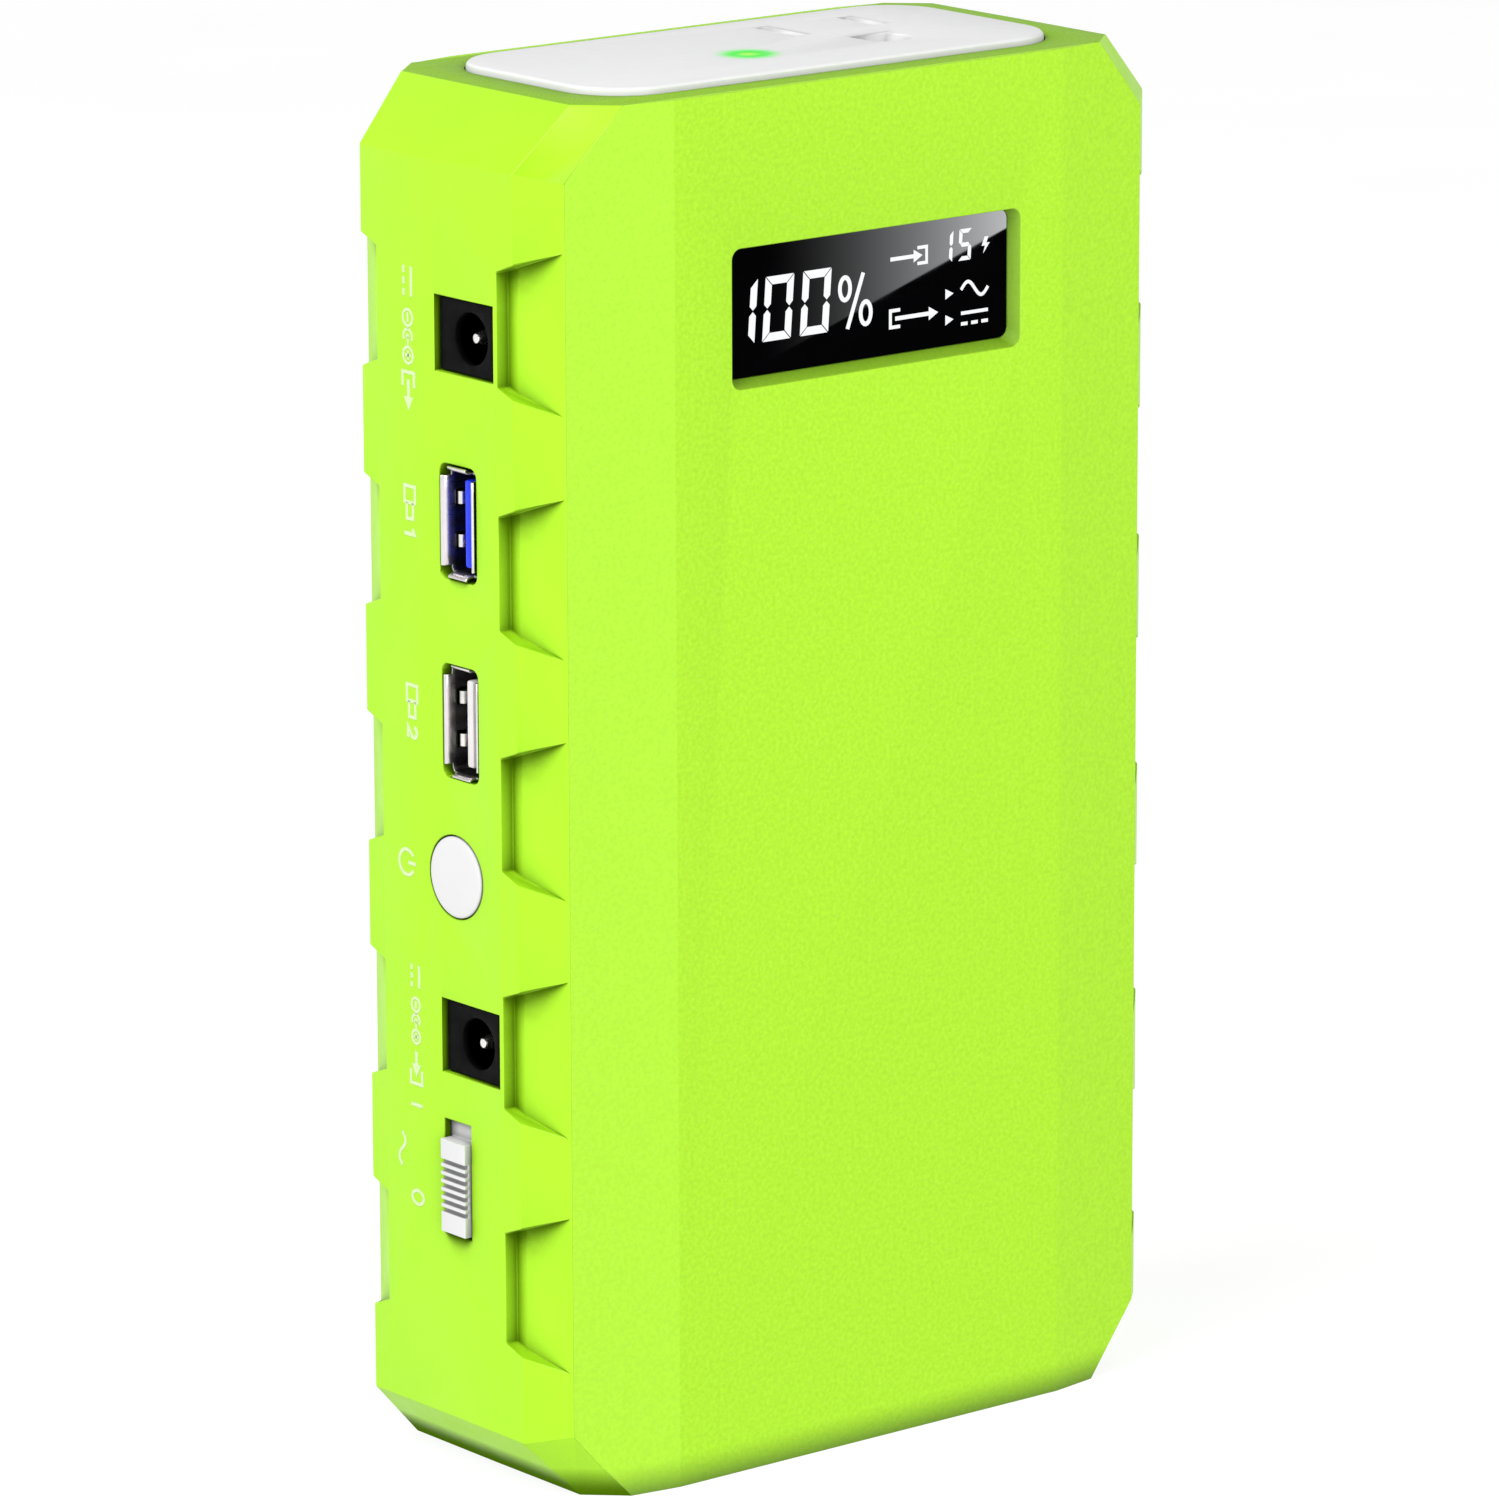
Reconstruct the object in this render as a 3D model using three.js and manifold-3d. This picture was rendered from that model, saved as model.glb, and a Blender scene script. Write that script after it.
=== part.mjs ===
// Jump starter pack: a faceted lime-green battery pack with a mains outlet on top,
// sockets and switches down its left side, a display on its front, and a jump lead
// socket behind a hinged cover on its right side.
//
// Millimetres. +Z is up, -Y is the front (display side), -X is the socket side.
// The origin is the centre of the base, on the surface that the pack stands on.

import * as THREE from 'three';
import { ConvexGeometry } from 'three/addons/geometries/ConvexGeometry.js';
import { mergeVertices } from 'three/addons/utils/BufferGeometryUtils.js';
import Module from 'manifold-3d';

const wasm = await Module();
wasm.setup();

// ---------------------------------------------------------------------------
// Driving dimensions
// ---------------------------------------------------------------------------

const HEIGHT = 168;
const MIDDLE = HEIGHT / 2;

// Plan of the body, one quarter: front face edge, corner facet edges, side ridge.
const FRONT_EDGE = { x: 29.8, y: 21.4 };
const BEVEL_EDGE = { x: 44.1, y: 19.08 };
const CORNER_EDGE = { x: 48.4, y: 14.6 };
const SIDE_RIDGE = { x: 48.7, y: 0 };

// Plan of the flat ends, one quarter.
const END_BEVEL_X = 36.4;
const END_CORNER = { x: 41.0, y: 16.2 };
const END_RIDGE = { x: 41.1, y: 0 };
const END_DROP = 7.6;

const WALL = 2.2;
const SEAM = 0.01;
const FIT = 0.15;

// Grip notches along the four upright corner facets.
const NOTCH_PITCH = 28.93;
const NOTCH_COUNT = 5;
const NOTCH = {
  innerY: 11.6, kinkY: 13.4, outerY: 18.75, innerHalf: 6.8, outerHalf: 9.55, depth: 1.8, wall: 0.6,
};

// Socket side, each as the middle of its opening in the side wall.
const DC_OPENING = { y: -5.45, width: 10.9, height: 9.0 };
const DC_FACE = { y: -5.6, width: 10.4, height: 8.75, depth: 0.5 };
const DC_BORE = { y: -6.4, radius: 3.1, depth: 9.5 };
const DC_OUT_Z = 140;
const DC_IN_Z = 55.05;
const USB = { y: -4.1, width: 6.8, height: 13.8, corner: 1.1 };
const USB_1_Z = 117.75;
const USB_2_Z = 93.7;
const BUTTON = { y: -2.96, z: 74.85, radius: 4.95 };
const SLOT = { y: -2.8, width: 5.0, bottom: 30.6, top: 44.75 };
const KNOB = { width: 4.7, bottom: 30.95, length: 11.5, proud: 0.85, ribs: 7, ribPitch: 1.0, groove: 0.5 };
const SLIDE_PLATE = { front: -47.6, back: -46.6, halfWidth: 4, bottom: 28.5, top: 48 };
const SLIDE_POCKET = { floor: -47.75, halfWidth: 4.4, bottom: 28.1, top: 50.5 };

// Display window in the front cover, at the cover's face.
const WINDOW = {
  left: -21.2, right: 23.1, bottom: 132.7, top: 149.45, corner: 1.3, slope: 1.05, depth: 1.3,
};
const DISPLAY_MODULE = { x: 0.9, z: 141.2, width: 47, height: 20.4 };

// Mains outlet on top.
const PANEL = { width: 70.8, depth: 32.6, corner: 8, proud: 0.9, edge: 0.7 };
const OUTLET = { x: 15.5, bladeY: 6.6, bladeHalfGap: 6.35, groundY: -5.0 };
const BLADE_SLOT = { width: 2.2, lineLength: 8.3, neutralLength: 7.2 };
const GROUND_HOLE = { halfWidth: 3.1, top: 3.3 };
const STATUS_LED = { x: -5.2, y: -4.7, radius: 1.6 };

// Jump lead socket and torch on the right side.
const JUMP_Z = 118;
const JUMP_COVER = { halfHeight: 13, freeY: -8, hingeY: 7.4, inner: 46.2, outer: 48.4 };
const COVER_PIVOT = { x: 47.2, radius: 1.2, bore: 0.75, pin: 0.6 };
const JUMP_SOCKET = {
  back: 31, front: 45.7, halfWidth: 6, halfHeight: 10.5, floor: 40.8, mouthWidth: 9, mouthHeight: 18.2,
  contactOffset: 4.3, bore: 3.1,
};
const TORCH = { z: 145, radius: 5.4, lensBack: 46.9, bowlBack: 38.6, throat: 2.1, boardBack: 36.8 };

// Battery and electronics.
const CELL = { left: -29.5, right: 39, thickness: 7.6, gap: 0.4, bottom: 16.8, top: 100 };
const PORT_BOARD_Y = 0.3;
const SCREW = { x: 35.8, low: 11, high: 157, shank: 1.2, head: 2.6 };

const materials = {
  green_smooth: { color: 0xb9fa3e, roughness: 0.38, metalness: 0 },
  green_grain: { color: 0xb4f53a, roughness: 0.62, metalness: 0 },
  white_plastic: { color: 0xeeeeee, roughness: 0.35, metalness: 0 },
  black_plastic: { color: 0x16171b, roughness: 0.5, metalness: 0 },
  black_glass: { color: 0x050506, roughness: 0.06, metalness: 0 },
  blue_plastic: { color: 0x1b35d6, roughness: 0.45, metalness: 0 },
  nickel: { color: 0xd9d7d2, roughness: 0.25, metalness: 1 },
  brass: { color: 0xc9a44c, roughness: 0.35, metalness: 1 },
  steel: { color: 0xa9abad, roughness: 0.4, metalness: 1 },
  rubber: { color: 0x242527, roughness: 0.85, metalness: 0 },
  board: { color: 0x1d6b3c, roughness: 0.5, metalness: 0 },
  pouch: { color: 0xc3c7cb, roughness: 0.35, metalness: 0.8 },
  foam: { color: 0x2e2f31, roughness: 1, metalness: 0 },
  lens: { color: 0xe9f3f5, roughness: 0.05, metalness: 0 },
  led_green: { color: 0x21e03a, roughness: 0.3, metalness: 0 },
  led_yellow: { color: 0xf2e07a, roughness: 0.4, metalness: 0 },
  red_sleeve: { color: 0xc0261f, roughness: 0.6, metalness: 0 },
};

// ---------------------------------------------------------------------------
// Solids
// ---------------------------------------------------------------------------

function solid(geometry) {
  const bare = geometry.index ? geometry.toNonIndexed() : geometry.clone();
  bare.deleteAttribute('normal');
  bare.deleteAttribute('uv');
  const merged = mergeVertices(bare, 1e-4);
  return new wasm.Manifold(new wasm.Mesh({
    numProp: 3,
    vertProperties: new Float32Array(merged.attributes.position.array),
    triVerts: new Uint32Array(merged.index.array),
  }));
}

function hull(points) {
  return solid(new ConvexGeometry(points));
}

function box(x0, x1, y0, y1, z0, z1) {
  const geometry = new THREE.BoxGeometry(x1 - x0, y1 - y0, z1 - z0);
  return solid(geometry.translate((x0 + x1) / 2, (y0 + y1) / 2, (z0 + z1) / 2));
}

// A cylinder from one end point to the other, along any axis.
function rod(start, end, radius, segments = 24) {
  const a = new THREE.Vector3(...start);
  const b = new THREE.Vector3(...end);
  const along = b.clone().sub(a);
  const geometry = new THREE.CylinderGeometry(radius, radius, along.length(), segments);
  const turn = new THREE.Quaternion().setFromUnitVectors(new THREE.Vector3(0, 1, 0), along.normalize());
  geometry.applyQuaternion(turn);
  const middle = a.add(b).multiplyScalar(0.5);
  return solid(geometry.translate(middle.x, middle.y, middle.z));
}

// A turned piece whose axis runs along +X. The profile is a list of [radius, x].
function turned(profile, y, z, segments = 32) {
  const points = profile.map(([radius, x]) => new THREE.Vector2(radius, x));
  const geometry = new THREE.LatheGeometry(points, segments);
  geometry.rotateZ(-Math.PI / 2);
  return solid(geometry.translate(0, y, z));
}

function outline(points) {
  return new THREE.Shape(points.map(([u, v]) => new THREE.Vector2(u, v)));
}

function roundedRectangle(width, height, radius) {
  const shape = new THREE.Shape();
  const w = width / 2;
  const h = height / 2;
  shape.moveTo(-w + radius, -h);
  shape.lineTo(w - radius, -h);
  shape.absarc(w - radius, -h + radius, radius, -Math.PI / 2, 0);
  shape.lineTo(w, h - radius);
  shape.absarc(w - radius, h - radius, radius, 0, Math.PI / 2);
  shape.lineTo(-w + radius, h);
  shape.absarc(-w + radius, h - radius, radius, Math.PI / 2, Math.PI);
  shape.lineTo(-w, -h + radius);
  shape.absarc(-w + radius, -h + radius, radius, Math.PI, Math.PI * 1.5);
  return shape;
}

// Shape in X, Y pushed up from z0 to z1.
function prismZ(shape, z0, z1, curveSegments = 6) {
  const geometry = new THREE.ExtrudeGeometry(shape, { depth: z1 - z0, bevelEnabled: false, curveSegments });
  return solid(geometry.translate(0, 0, z0));
}

// Shape in X, Z pushed from y0 back to y1.
function prismY(shape, y0, y1, curveSegments = 6) {
  const geometry = new THREE.ExtrudeGeometry(shape, { depth: y1 - y0, bevelEnabled: false, curveSegments });
  return solid(geometry.rotateX(Math.PI / 2).translate(0, y1, 0));
}

// Shape in Y, Z pushed from x0 to x1.
function prismX(shape, x0, x1, curveSegments = 6) {
  const geometry = new THREE.ExtrudeGeometry(shape, { depth: x1 - x0, bevelEnabled: false, curveSegments });
  const turn = new THREE.Matrix4().makeBasis(
    new THREE.Vector3(0, 1, 0),
    new THREE.Vector3(0, 0, 1),
    new THREE.Vector3(1, 0, 0),
  );
  return solid(geometry.applyMatrix4(turn).translate(x0, 0, 0));
}

function moved(piece, x, y, z) {
  return piece.translate([x, y, z]);
}

function joined(pieces) {
  return pieces.reduce((all, piece) => all.add(piece));
}

function cut(piece, ...tools) {
  return tools.reduce((left, tool) => left.subtract(tool), piece);
}

// ---------------------------------------------------------------------------
// Body shape
// ---------------------------------------------------------------------------

// Drop of the bevel edge's ends below the flat end, which keeps each end facet flat.
function bevelDrop() {
  const bevel = endBevel();
  const along = new THREE.Vector2(END_CORNER.x - bevel.x, END_CORNER.y - bevel.y).normalize();
  const out = (point) => (point.x - bevel.x) * -along.y + (point.y - bevel.y) * along.x;
  return END_DROP * out(BEVEL_EDGE) / out(CORNER_EDGE);
}

function ridgeDrop() {
  return END_DROP * (SIDE_RIDGE.x - END_RIDGE.x) / (CORNER_EDGE.x - END_CORNER.x);
}

// The end's bevel corner lies in the front bevel's plane.
function endBevel() {
  const slope = (BEVEL_EDGE.y - FRONT_EDGE.y) / (BEVEL_EDGE.x - FRONT_EDGE.x);
  return { x: END_BEVEL_X, y: FRONT_EDGE.y + slope * (END_BEVEL_X - FRONT_EDGE.x) };
}

// Moves each side of the convex quarter outline inwards by the same distance.
function insetQuarter(quarter, distance) {
  const mirrored = { x: -quarter[0].x, y: quarter[0].y };
  const last = quarter.length - 1;
  const below = { x: quarter[last - 1].x, y: -quarter[last - 1].y };
  const chain = [mirrored, ...quarter, below];
  return quarter.map((_, index) => {
    const [a, b, c] = chain.slice(index, index + 3);
    const first = insetLine(a, b, distance);
    const second = insetLine(b, c, distance);
    const scale = first.nx * second.ny - first.ny * second.nx;
    return {
      x: (first.d * second.ny - second.d * first.ny) / scale,
      y: (first.nx * second.d - second.nx * first.d) / scale,
    };
  });
}

function insetLine(a, b, distance) {
  const length = Math.hypot(b.x - a.x, b.y - a.y);
  const nx = -(b.y - a.y) / length;
  const ny = (b.x - a.x) / length;
  return { nx, ny, d: nx * a.x + ny * a.y + Math.sign(-(nx * a.x + ny * a.y)) * distance };
}

// The corner points of one quarter of the upper half, at a wall's depth below the skin.
function quarterPoints(depth) {
  const middle = insetQuarter([FRONT_EDGE, BEVEL_EDGE, CORNER_EDGE, SIDE_RIDGE], depth);
  const end = insetQuarter([FRONT_EDGE, endBevel(), END_CORNER, END_RIDGE], depth);
  const shift = depth * (Math.SQRT2 - 1);
  return {
    front: new THREE.Vector3(end[0].x, end[0].y, HEIGHT - depth),
    endBevel: new THREE.Vector3(end[1].x, end[1].y, HEIGHT - depth),
    endCorner: new THREE.Vector3(end[2].x, end[2].y, HEIGHT - depth),
    endRidge: new THREE.Vector3(end[3].x, 0, HEIGHT - depth),
    bevel: new THREE.Vector3(middle[1].x, middle[1].y, HEIGHT - bevelDrop() - shift),
    corner: new THREE.Vector3(middle[2].x, middle[2].y, HEIGHT - END_DROP - shift),
    ridge: new THREE.Vector3(middle[3].x, 0, HEIGHT - ridgeDrop() - shift),
  };
}

function mirroredAround(point, signsY = [1, -1]) {
  const copies = [];
  for (const sx of [1, -1]) {
    for (const sy of signsY) {
      copies.push(new THREE.Vector3(point.x * sx, point.y * sy, point.z));
      copies.push(new THREE.Vector3(point.x * sx, point.y * sy, HEIGHT - point.z));
    }
  }
  return copies;
}

function bodySolid(depth) {
  const points = Object.values(quarterPoints(depth)).flatMap((point) => mirroredAround(point));
  return hull(points);
}

// The block of the body that a cover takes up. Its mitred rim follows the facets' edges.
// side is -1 for the front cover and 1 for the rear one. A positive clearance widens it.
function coverBlock(side, clearance, overshoot) {
  const outer = quarterPoints(0);
  const inner = quarterPoints(WALL);
  const points = [];
  for (const key of ['front', 'endBevel', 'bevel']) {
    const skin = outer[key].clone();
    skin.x += clearance;
    skin.z += clearance;
    const back = inner[key].clone();
    back.x += clearance;
    back.z += clearance;
    const beyond = skin.clone().add(skin.clone().sub(back).multiplyScalar(overshoot));
    points.push(...mirroredAround(beyond, [side]), ...mirroredAround(back, [side]));
  }
  return hull(points);
}

// ---------------------------------------------------------------------------
// Grip notches
// ---------------------------------------------------------------------------

function skinX(y) {
  const edge = Math.abs(y);
  if (edge <= CORNER_EDGE.y) {
    return SIDE_RIDGE.x + (CORNER_EDGE.x - SIDE_RIDGE.x) * edge / CORNER_EDGE.y;
  }
  const part = (edge - CORNER_EDGE.y) / (BEVEL_EDGE.y - CORNER_EDGE.y);
  return CORNER_EDGE.x + (BEVEL_EDGE.x - CORNER_EDGE.x) * part;
}

function notchCentres() {
  const first = MIDDLE - NOTCH_PITCH * (NOTCH_COUNT - 1) / 2;
  return Array.from({ length: NOTCH_COUNT }, (_, index) => first + NOTCH_PITCH * index);
}

// One notch on the right rear corner: a trapezium seen from the side, with a floor
// that runs parallel to the side facet and then rises to the bevel's edge.
function notchSolid(z) {
  const slope = (NOTCH.outerHalf - NOTCH.innerHalf) / (NOTCH.outerY - NOTCH.innerY);
  const far = NOTCH.outerY + 2;
  const farHalf = NOTCH.outerHalf + slope * 2;
  const sideView = prismX(outline([
    [NOTCH.innerY, z - NOTCH.innerHalf],
    [far, z - farHalf],
    [far, z + farHalf],
    [NOTCH.innerY, z + NOTCH.innerHalf],
  ]), 40, 52);
  const floorX = skinX(NOTCH.innerY) - NOTCH.depth;
  const topView = prismZ(outline([
    [52, NOTCH.innerY],
    [floorX, NOTCH.innerY],
    [skinX(NOTCH.kinkY) - NOTCH.depth, NOTCH.kinkY],
    [skinX(NOTCH.outerY), NOTCH.outerY],
    [52, NOTCH.outerY],
  ]), z - 12, z + 12);
  return sideView.intersect(topView);
}

// The thicker wall that backs one notch inside the frame.
function notchBacking(z) {
  const inside = skinX(NOTCH.innerY) - NOTCH.depth - 1.1;
  return prismZ(outline([
    [48, NOTCH.innerY - NOTCH.wall],
    [inside, NOTCH.innerY - NOTCH.wall],
    [inside, NOTCH.kinkY - 0.4],
    [43.4, 17.6],
    [46, 19],
  ]), z - 10.2, z + 10.2);
}

function onFourCorners(piece) {
  const copies = [];
  for (const flipX of [false, true]) {
    for (const flipY of [false, true]) {
      let copy = piece;
      if (flipX) copy = copy.mirror([1, 0, 0]);
      if (flipY) copy = copy.mirror([0, 1, 0]);
      copies.push(copy);
    }
  }
  return joined(copies);
}

// ---------------------------------------------------------------------------
// Casing
// ---------------------------------------------------------------------------

function slotOutline(width, height, corner, y, z) {
  return moved(prismX(roundedRectangle(width, height, corner), -52, -44, 4), 0, y, z);
}

function dcOpening(z) {
  return box(-52, -44, DC_OPENING.y - DC_OPENING.width / 2, DC_OPENING.y + DC_OPENING.width / 2,
    z - DC_OPENING.height / 2, z + DC_OPENING.height / 2);
}

function socketSideCuts() {
  return [
    dcOpening(DC_OUT_Z),
    dcOpening(DC_IN_Z),
    slotOutline(USB.width, USB.height, USB.corner, USB.y, USB_1_Z),
    slotOutline(USB.width, USB.height, USB.corner, USB.y, USB_2_Z),
    rod([-52, BUTTON.y, BUTTON.z], [-44, BUTTON.y, BUTTON.z], BUTTON.radius + FIT, 40),
    box(-52, -44, SLOT.y - SLOT.width / 2, SLOT.y + SLOT.width / 2, SLOT.bottom, SLOT.top),
    box(SLIDE_POCKET.floor, -44, SLOT.y - SLIDE_POCKET.halfWidth, SLOT.y + SLIDE_POCKET.halfWidth,
      SLIDE_POCKET.bottom, SLIDE_POCKET.top),
  ];
}

// An upright round bar centred on the jump cover's pivot.
function onPivot(half, radius, segments) {
  const { x } = COVER_PIVOT;
  const y = JUMP_COVER.hingeY;
  return rod([x, y, JUMP_Z - half], [x, y, JUMP_Z + half], radius, segments);
}

function jumpSideCuts() {
  const { halfHeight, freeY, hingeY } = JUMP_COVER;
  return [
    box(45.9, 52, freeY - 0.3, hingeY + 2.2, JUMP_Z - halfHeight - 0.3, JUMP_Z + halfHeight + 0.3),
    box(46.3, 52, freeY - 2.3, freeY, JUMP_Z - 4, JUMP_Z + 4),
    box(40, 52, -6.2, 6.2, JUMP_Z - 10.7, JUMP_Z + 10.7),
    onPivot(halfHeight + 1.7, COVER_PIVOT.bore, 16),
    rod([40, 0, TORCH.z], [52, 0, TORCH.z], TORCH.radius + FIT, 32),
  ];
}

function sideFrame() {
  const panelHole = roundedRectangle(PANEL.width + 2 * FIT, PANEL.depth + 2 * FIT, PANEL.corner + FIT);
  const panelCut = prismZ(panelHole, HEIGHT - WALL - 2, HEIGHT + 2);
  const backings = onFourCorners(joined(notchCentres().map(notchBacking)));
  const notches = onFourCorners(joined(notchCentres().map(notchSolid)));
  const jumpPad = box(42.6, 47, -11.4, 11.4, JUMP_Z - 16, JUMP_Z + 16);
  const skin = bodySolid(0);
  const ring = cut(skin, bodySolid(WALL)).add(backings.add(jumpPad).intersect(skin));
  return cut(ring, coverBlock(-1, SEAM, 0.6), coverBlock(1, SEAM, 0.6), notches, panelCut,
    ...socketSideCuts(), ...jumpSideCuts());
}

function bossPositions() {
  return [
    [-SCREW.x, SCREW.low],
    [SCREW.x, SCREW.low],
    [-SCREW.x, SCREW.high],
    [SCREW.x, SCREW.high],
  ];
}

function coverShell(side) {
  return coverBlock(side, -SEAM, 0.6).intersect(bodySolid(0)).subtract(bodySolid(WALL));
}

// The window's outline where it is depth below the cover's face. Its right and lower walls
// slope inwards, and the other two are straight.
function windowOutline(depth) {
  const inset = WINDOW.slope * depth / WINDOW.depth;
  const width = WINDOW.right - inset - WINDOW.left;
  const height = WINDOW.top - WINDOW.bottom - inset;
  return { width, height, x: WINDOW.left + width / 2, z: WINDOW.top - height / 2 };
}

function windowCut() {
  const corners = [-1, WINDOW.depth].flatMap((depth) => {
    const { width, height, x, z } = windowOutline(depth);
    return roundedRectangle(width, height, WINDOW.corner).getPoints(6).map((point) => (
      new THREE.Vector3(x + point.x, depth - FRONT_EDGE.y, z + point.y)
    ));
  });
  const { width, height, x, z } = windowOutline(WINDOW.depth);
  const straight = prismY(roundedRectangle(width, height, WINDOW.corner), WINDOW.depth - FRONT_EDGE.y, -10);
  return moved(straight, x, 0, z).add(hull(corners));
}

function frontCover() {
  const bosses = bossPositions().map(([x, z]) => rod([x, -18.6, z], [x, 4, z], 3.4, 20));
  const pilots = bossPositions().map(([x, z]) => rod([x, -8, z], [x, 5, z], SCREW.shank + 0.05, 12));
  return cut(joined([coverShell(-1), ...bosses]), windowCut(), ...pilots);
}

function rearCover() {
  const bosses = bossPositions().map(([x, z]) => rod([x, 4.3, z], [x, 18.6, z], 3.4, 20));
  const bores = bossPositions().map(([x, z]) => rod([x, 4, z], [x, 22, z], SCREW.shank + 0.3, 12));
  const sinks = bossPositions().map(([x, z]) => rod([x, 17.4, z], [x, 24, z], SCREW.head + 0.3, 24));
  return cut(joined([coverShell(1), ...bosses]), ...bores, ...sinks);
}

// ---------------------------------------------------------------------------
// Mains outlet
// ---------------------------------------------------------------------------

function groundHole(clearance) {
  const half = GROUND_HOLE.halfWidth + clearance;
  const shape = new THREE.Shape();
  shape.moveTo(half, -0.2);
  shape.lineTo(half, GROUND_HOLE.top + clearance);
  shape.lineTo(-half, GROUND_HOLE.top + clearance);
  shape.lineTo(-half, -0.2);
  shape.absarc(0, -0.2, half, Math.PI, Math.PI * 2);
  return shape;
}

function outletHoles(clearance, z0, z1) {
  const { x, bladeY, bladeHalfGap, groundY } = OUTLET;
  const half = BLADE_SLOT.width / 2 + clearance;
  const line = BLADE_SLOT.lineLength / 2 + clearance;
  const neutral = BLADE_SLOT.neutralLength / 2 + clearance;
  const left = x - bladeHalfGap;
  const right = x + bladeHalfGap;
  return [
    box(left - half, left + half, bladeY - line, bladeY + line, z0, z1),
    box(right - half, right + half, bladeY - neutral, bladeY + neutral, z0, z1),
    moved(prismZ(groundHole(clearance), z0, z1, 8), x, groundY, 0),
  ];
}

function outletPanel() {
  const top = HEIGHT + PANEL.proud;
  const bottom = HEIGHT - WALL - 1.8;
  const cap = new THREE.ExtrudeGeometry(roundedRectangle(PANEL.width, PANEL.depth, PANEL.corner), {
    depth: top - bottom - 2 * PANEL.edge, bevelEnabled: true, bevelThickness: PANEL.edge,
    bevelSize: PANEL.edge, bevelOffset: -PANEL.edge, bevelSegments: 3, curveSegments: 7,
  });
  cap.translate(0, 0, bottom + PANEL.edge);
  const flange = prismZ(roundedRectangle(PANEL.width + 3, PANEL.depth + 3, PANEL.corner + 1.5),
    bottom, HEIGHT - WALL - 0.2);
  const light = rod([STATUS_LED.x, STATUS_LED.y, bottom - 1], [STATUS_LED.x, STATUS_LED.y, top + 1],
    STATUS_LED.radius + 0.1, 24);
  return cut(solid(cap).add(flange), ...outletHoles(0, bottom - 1, top + 1), light);
}

const BLOCK = { left: 0.5, right: 30.5, front: -12, back: 13.5, bottom: 150, top: 163.7 };
const CONTACT_TOP = 162.8;

function outletInsulator() {
  const block = box(BLOCK.left, BLOCK.right, BLOCK.front, BLOCK.back, BLOCK.bottom, BLOCK.top);
  const { x, bladeY, bladeHalfGap, groundY } = OUTLET;
  const pocketFloor = BLOCK.bottom + 1.8;
  const pockets = [x - bladeHalfGap, x + bladeHalfGap].map((bladeX) => (
    box(bladeX - 2.6, bladeX + 2.6, bladeY - 4.6, bladeY + 4.6, pocketFloor, BLOCK.top + 1)
  ));
  const groundPocket = rod([x, groundY, pocketFloor], [x, groundY, BLOCK.top + 1], 4.1, 24);
  return cut(block, ...pockets, groundPocket);
}

// A folded strip with two leaves that grip one blade of a plug.
function bladeContact(x) {
  const bottom = BLOCK.bottom + 2;
  const shape = outline([
    [-2.3, bottom], [2.3, bottom], [2.3, CONTACT_TOP - 2], [1.2, CONTACT_TOP],
    [0.8, CONTACT_TOP - 0.4], [1.5, CONTACT_TOP - 2.2], [1.5, bottom + 0.8],
    [-1.5, bottom + 0.8], [-1.5, CONTACT_TOP - 2.2], [-0.8, CONTACT_TOP - 0.4],
    [-1.2, CONTACT_TOP], [-2.3, CONTACT_TOP - 2],
  ]);
  return moved(prismY(shape, OUTLET.bladeY - 3.4, OUTLET.bladeY + 3.4), x, 0, 0);
}

function groundContact() {
  const { x, groundY } = OUTLET;
  const bottom = BLOCK.bottom + 2;
  const sleeve = rod([x, groundY, bottom], [x, groundY, CONTACT_TOP], 3.8, 24);
  const bore = rod([x, groundY, bottom + 0.8], [x, groundY, CONTACT_TOP + 1], 3.1, 24);
  return cut(sleeve, bore);
}

function statusLens() {
  const top = HEIGHT + PANEL.proud;
  const { x, y, radius } = STATUS_LED;
  const stem = rod([x, y, HEIGHT - 6], [x, y, top - 0.15], radius, 24);
  return stem.add(rod([x, y, HEIGHT - 6], [x, y, HEIGHT - 4.4], radius + 0.9, 24));
}

// ---------------------------------------------------------------------------
// Display
// ---------------------------------------------------------------------------

function displayGlass() {
  const front = WINDOW.depth - FRONT_EDGE.y;
  const { width, height, x, z } = windowOutline(WINDOW.depth);
  const shape = roundedRectangle(width - 0.16, height - 0.16, WINDOW.corner - 0.08);
  return moved(prismY(shape, front, front + 1), x, 0, z);
}

function displayModule() {
  const shape = roundedRectangle(DISPLAY_MODULE.width, DISPLAY_MODULE.height, 1);
  return moved(prismY(shape, -18.9, -15), DISPLAY_MODULE.x, 0, DISPLAY_MODULE.z);
}

function displayBoard() {
  const plate = box(-26, 27.8, -14.8, -13.4, 129, 152.6);
  const chip = box(-8, 4, -13.4, -12.2, 138, 146);
  return plate.add(chip);
}

// ---------------------------------------------------------------------------
// Sockets and switches on the port side
// ---------------------------------------------------------------------------

function dcJack(z) {
  const front = -(SIDE_RIDGE.x - DC_FACE.depth);
  const body = box(front, front + 13.6, DC_FACE.y - DC_FACE.width / 2, DC_FACE.y + DC_FACE.width / 2,
    z - DC_FACE.height / 2, z + DC_FACE.height / 2);
  const bore = rod([front - 1, DC_BORE.y, z], [front + DC_BORE.depth, DC_BORE.y, z], DC_BORE.radius, 32);
  return cut(body, bore);
}

function dcPin(z) {
  const base = -(SIDE_RIDGE.x - DC_FACE.depth) + DC_BORE.depth - 0.1;
  const tip = -(SIDE_RIDGE.x - DC_FACE.depth) + 0.7;
  return turned([
    [0, tip], [0.6, tip + 0.15], [0.92, tip + 0.6], [0.95, tip + 1.2], [0.95, base - 0.2], [0, base - 0.2],
  ], DC_BORE.y, z, 16);
}

const USB_SHELL = { front: -48.6, length: 13.4, width: 5.7, height: 12.9, sheet: 0.35, corner: 0.6 };

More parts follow.
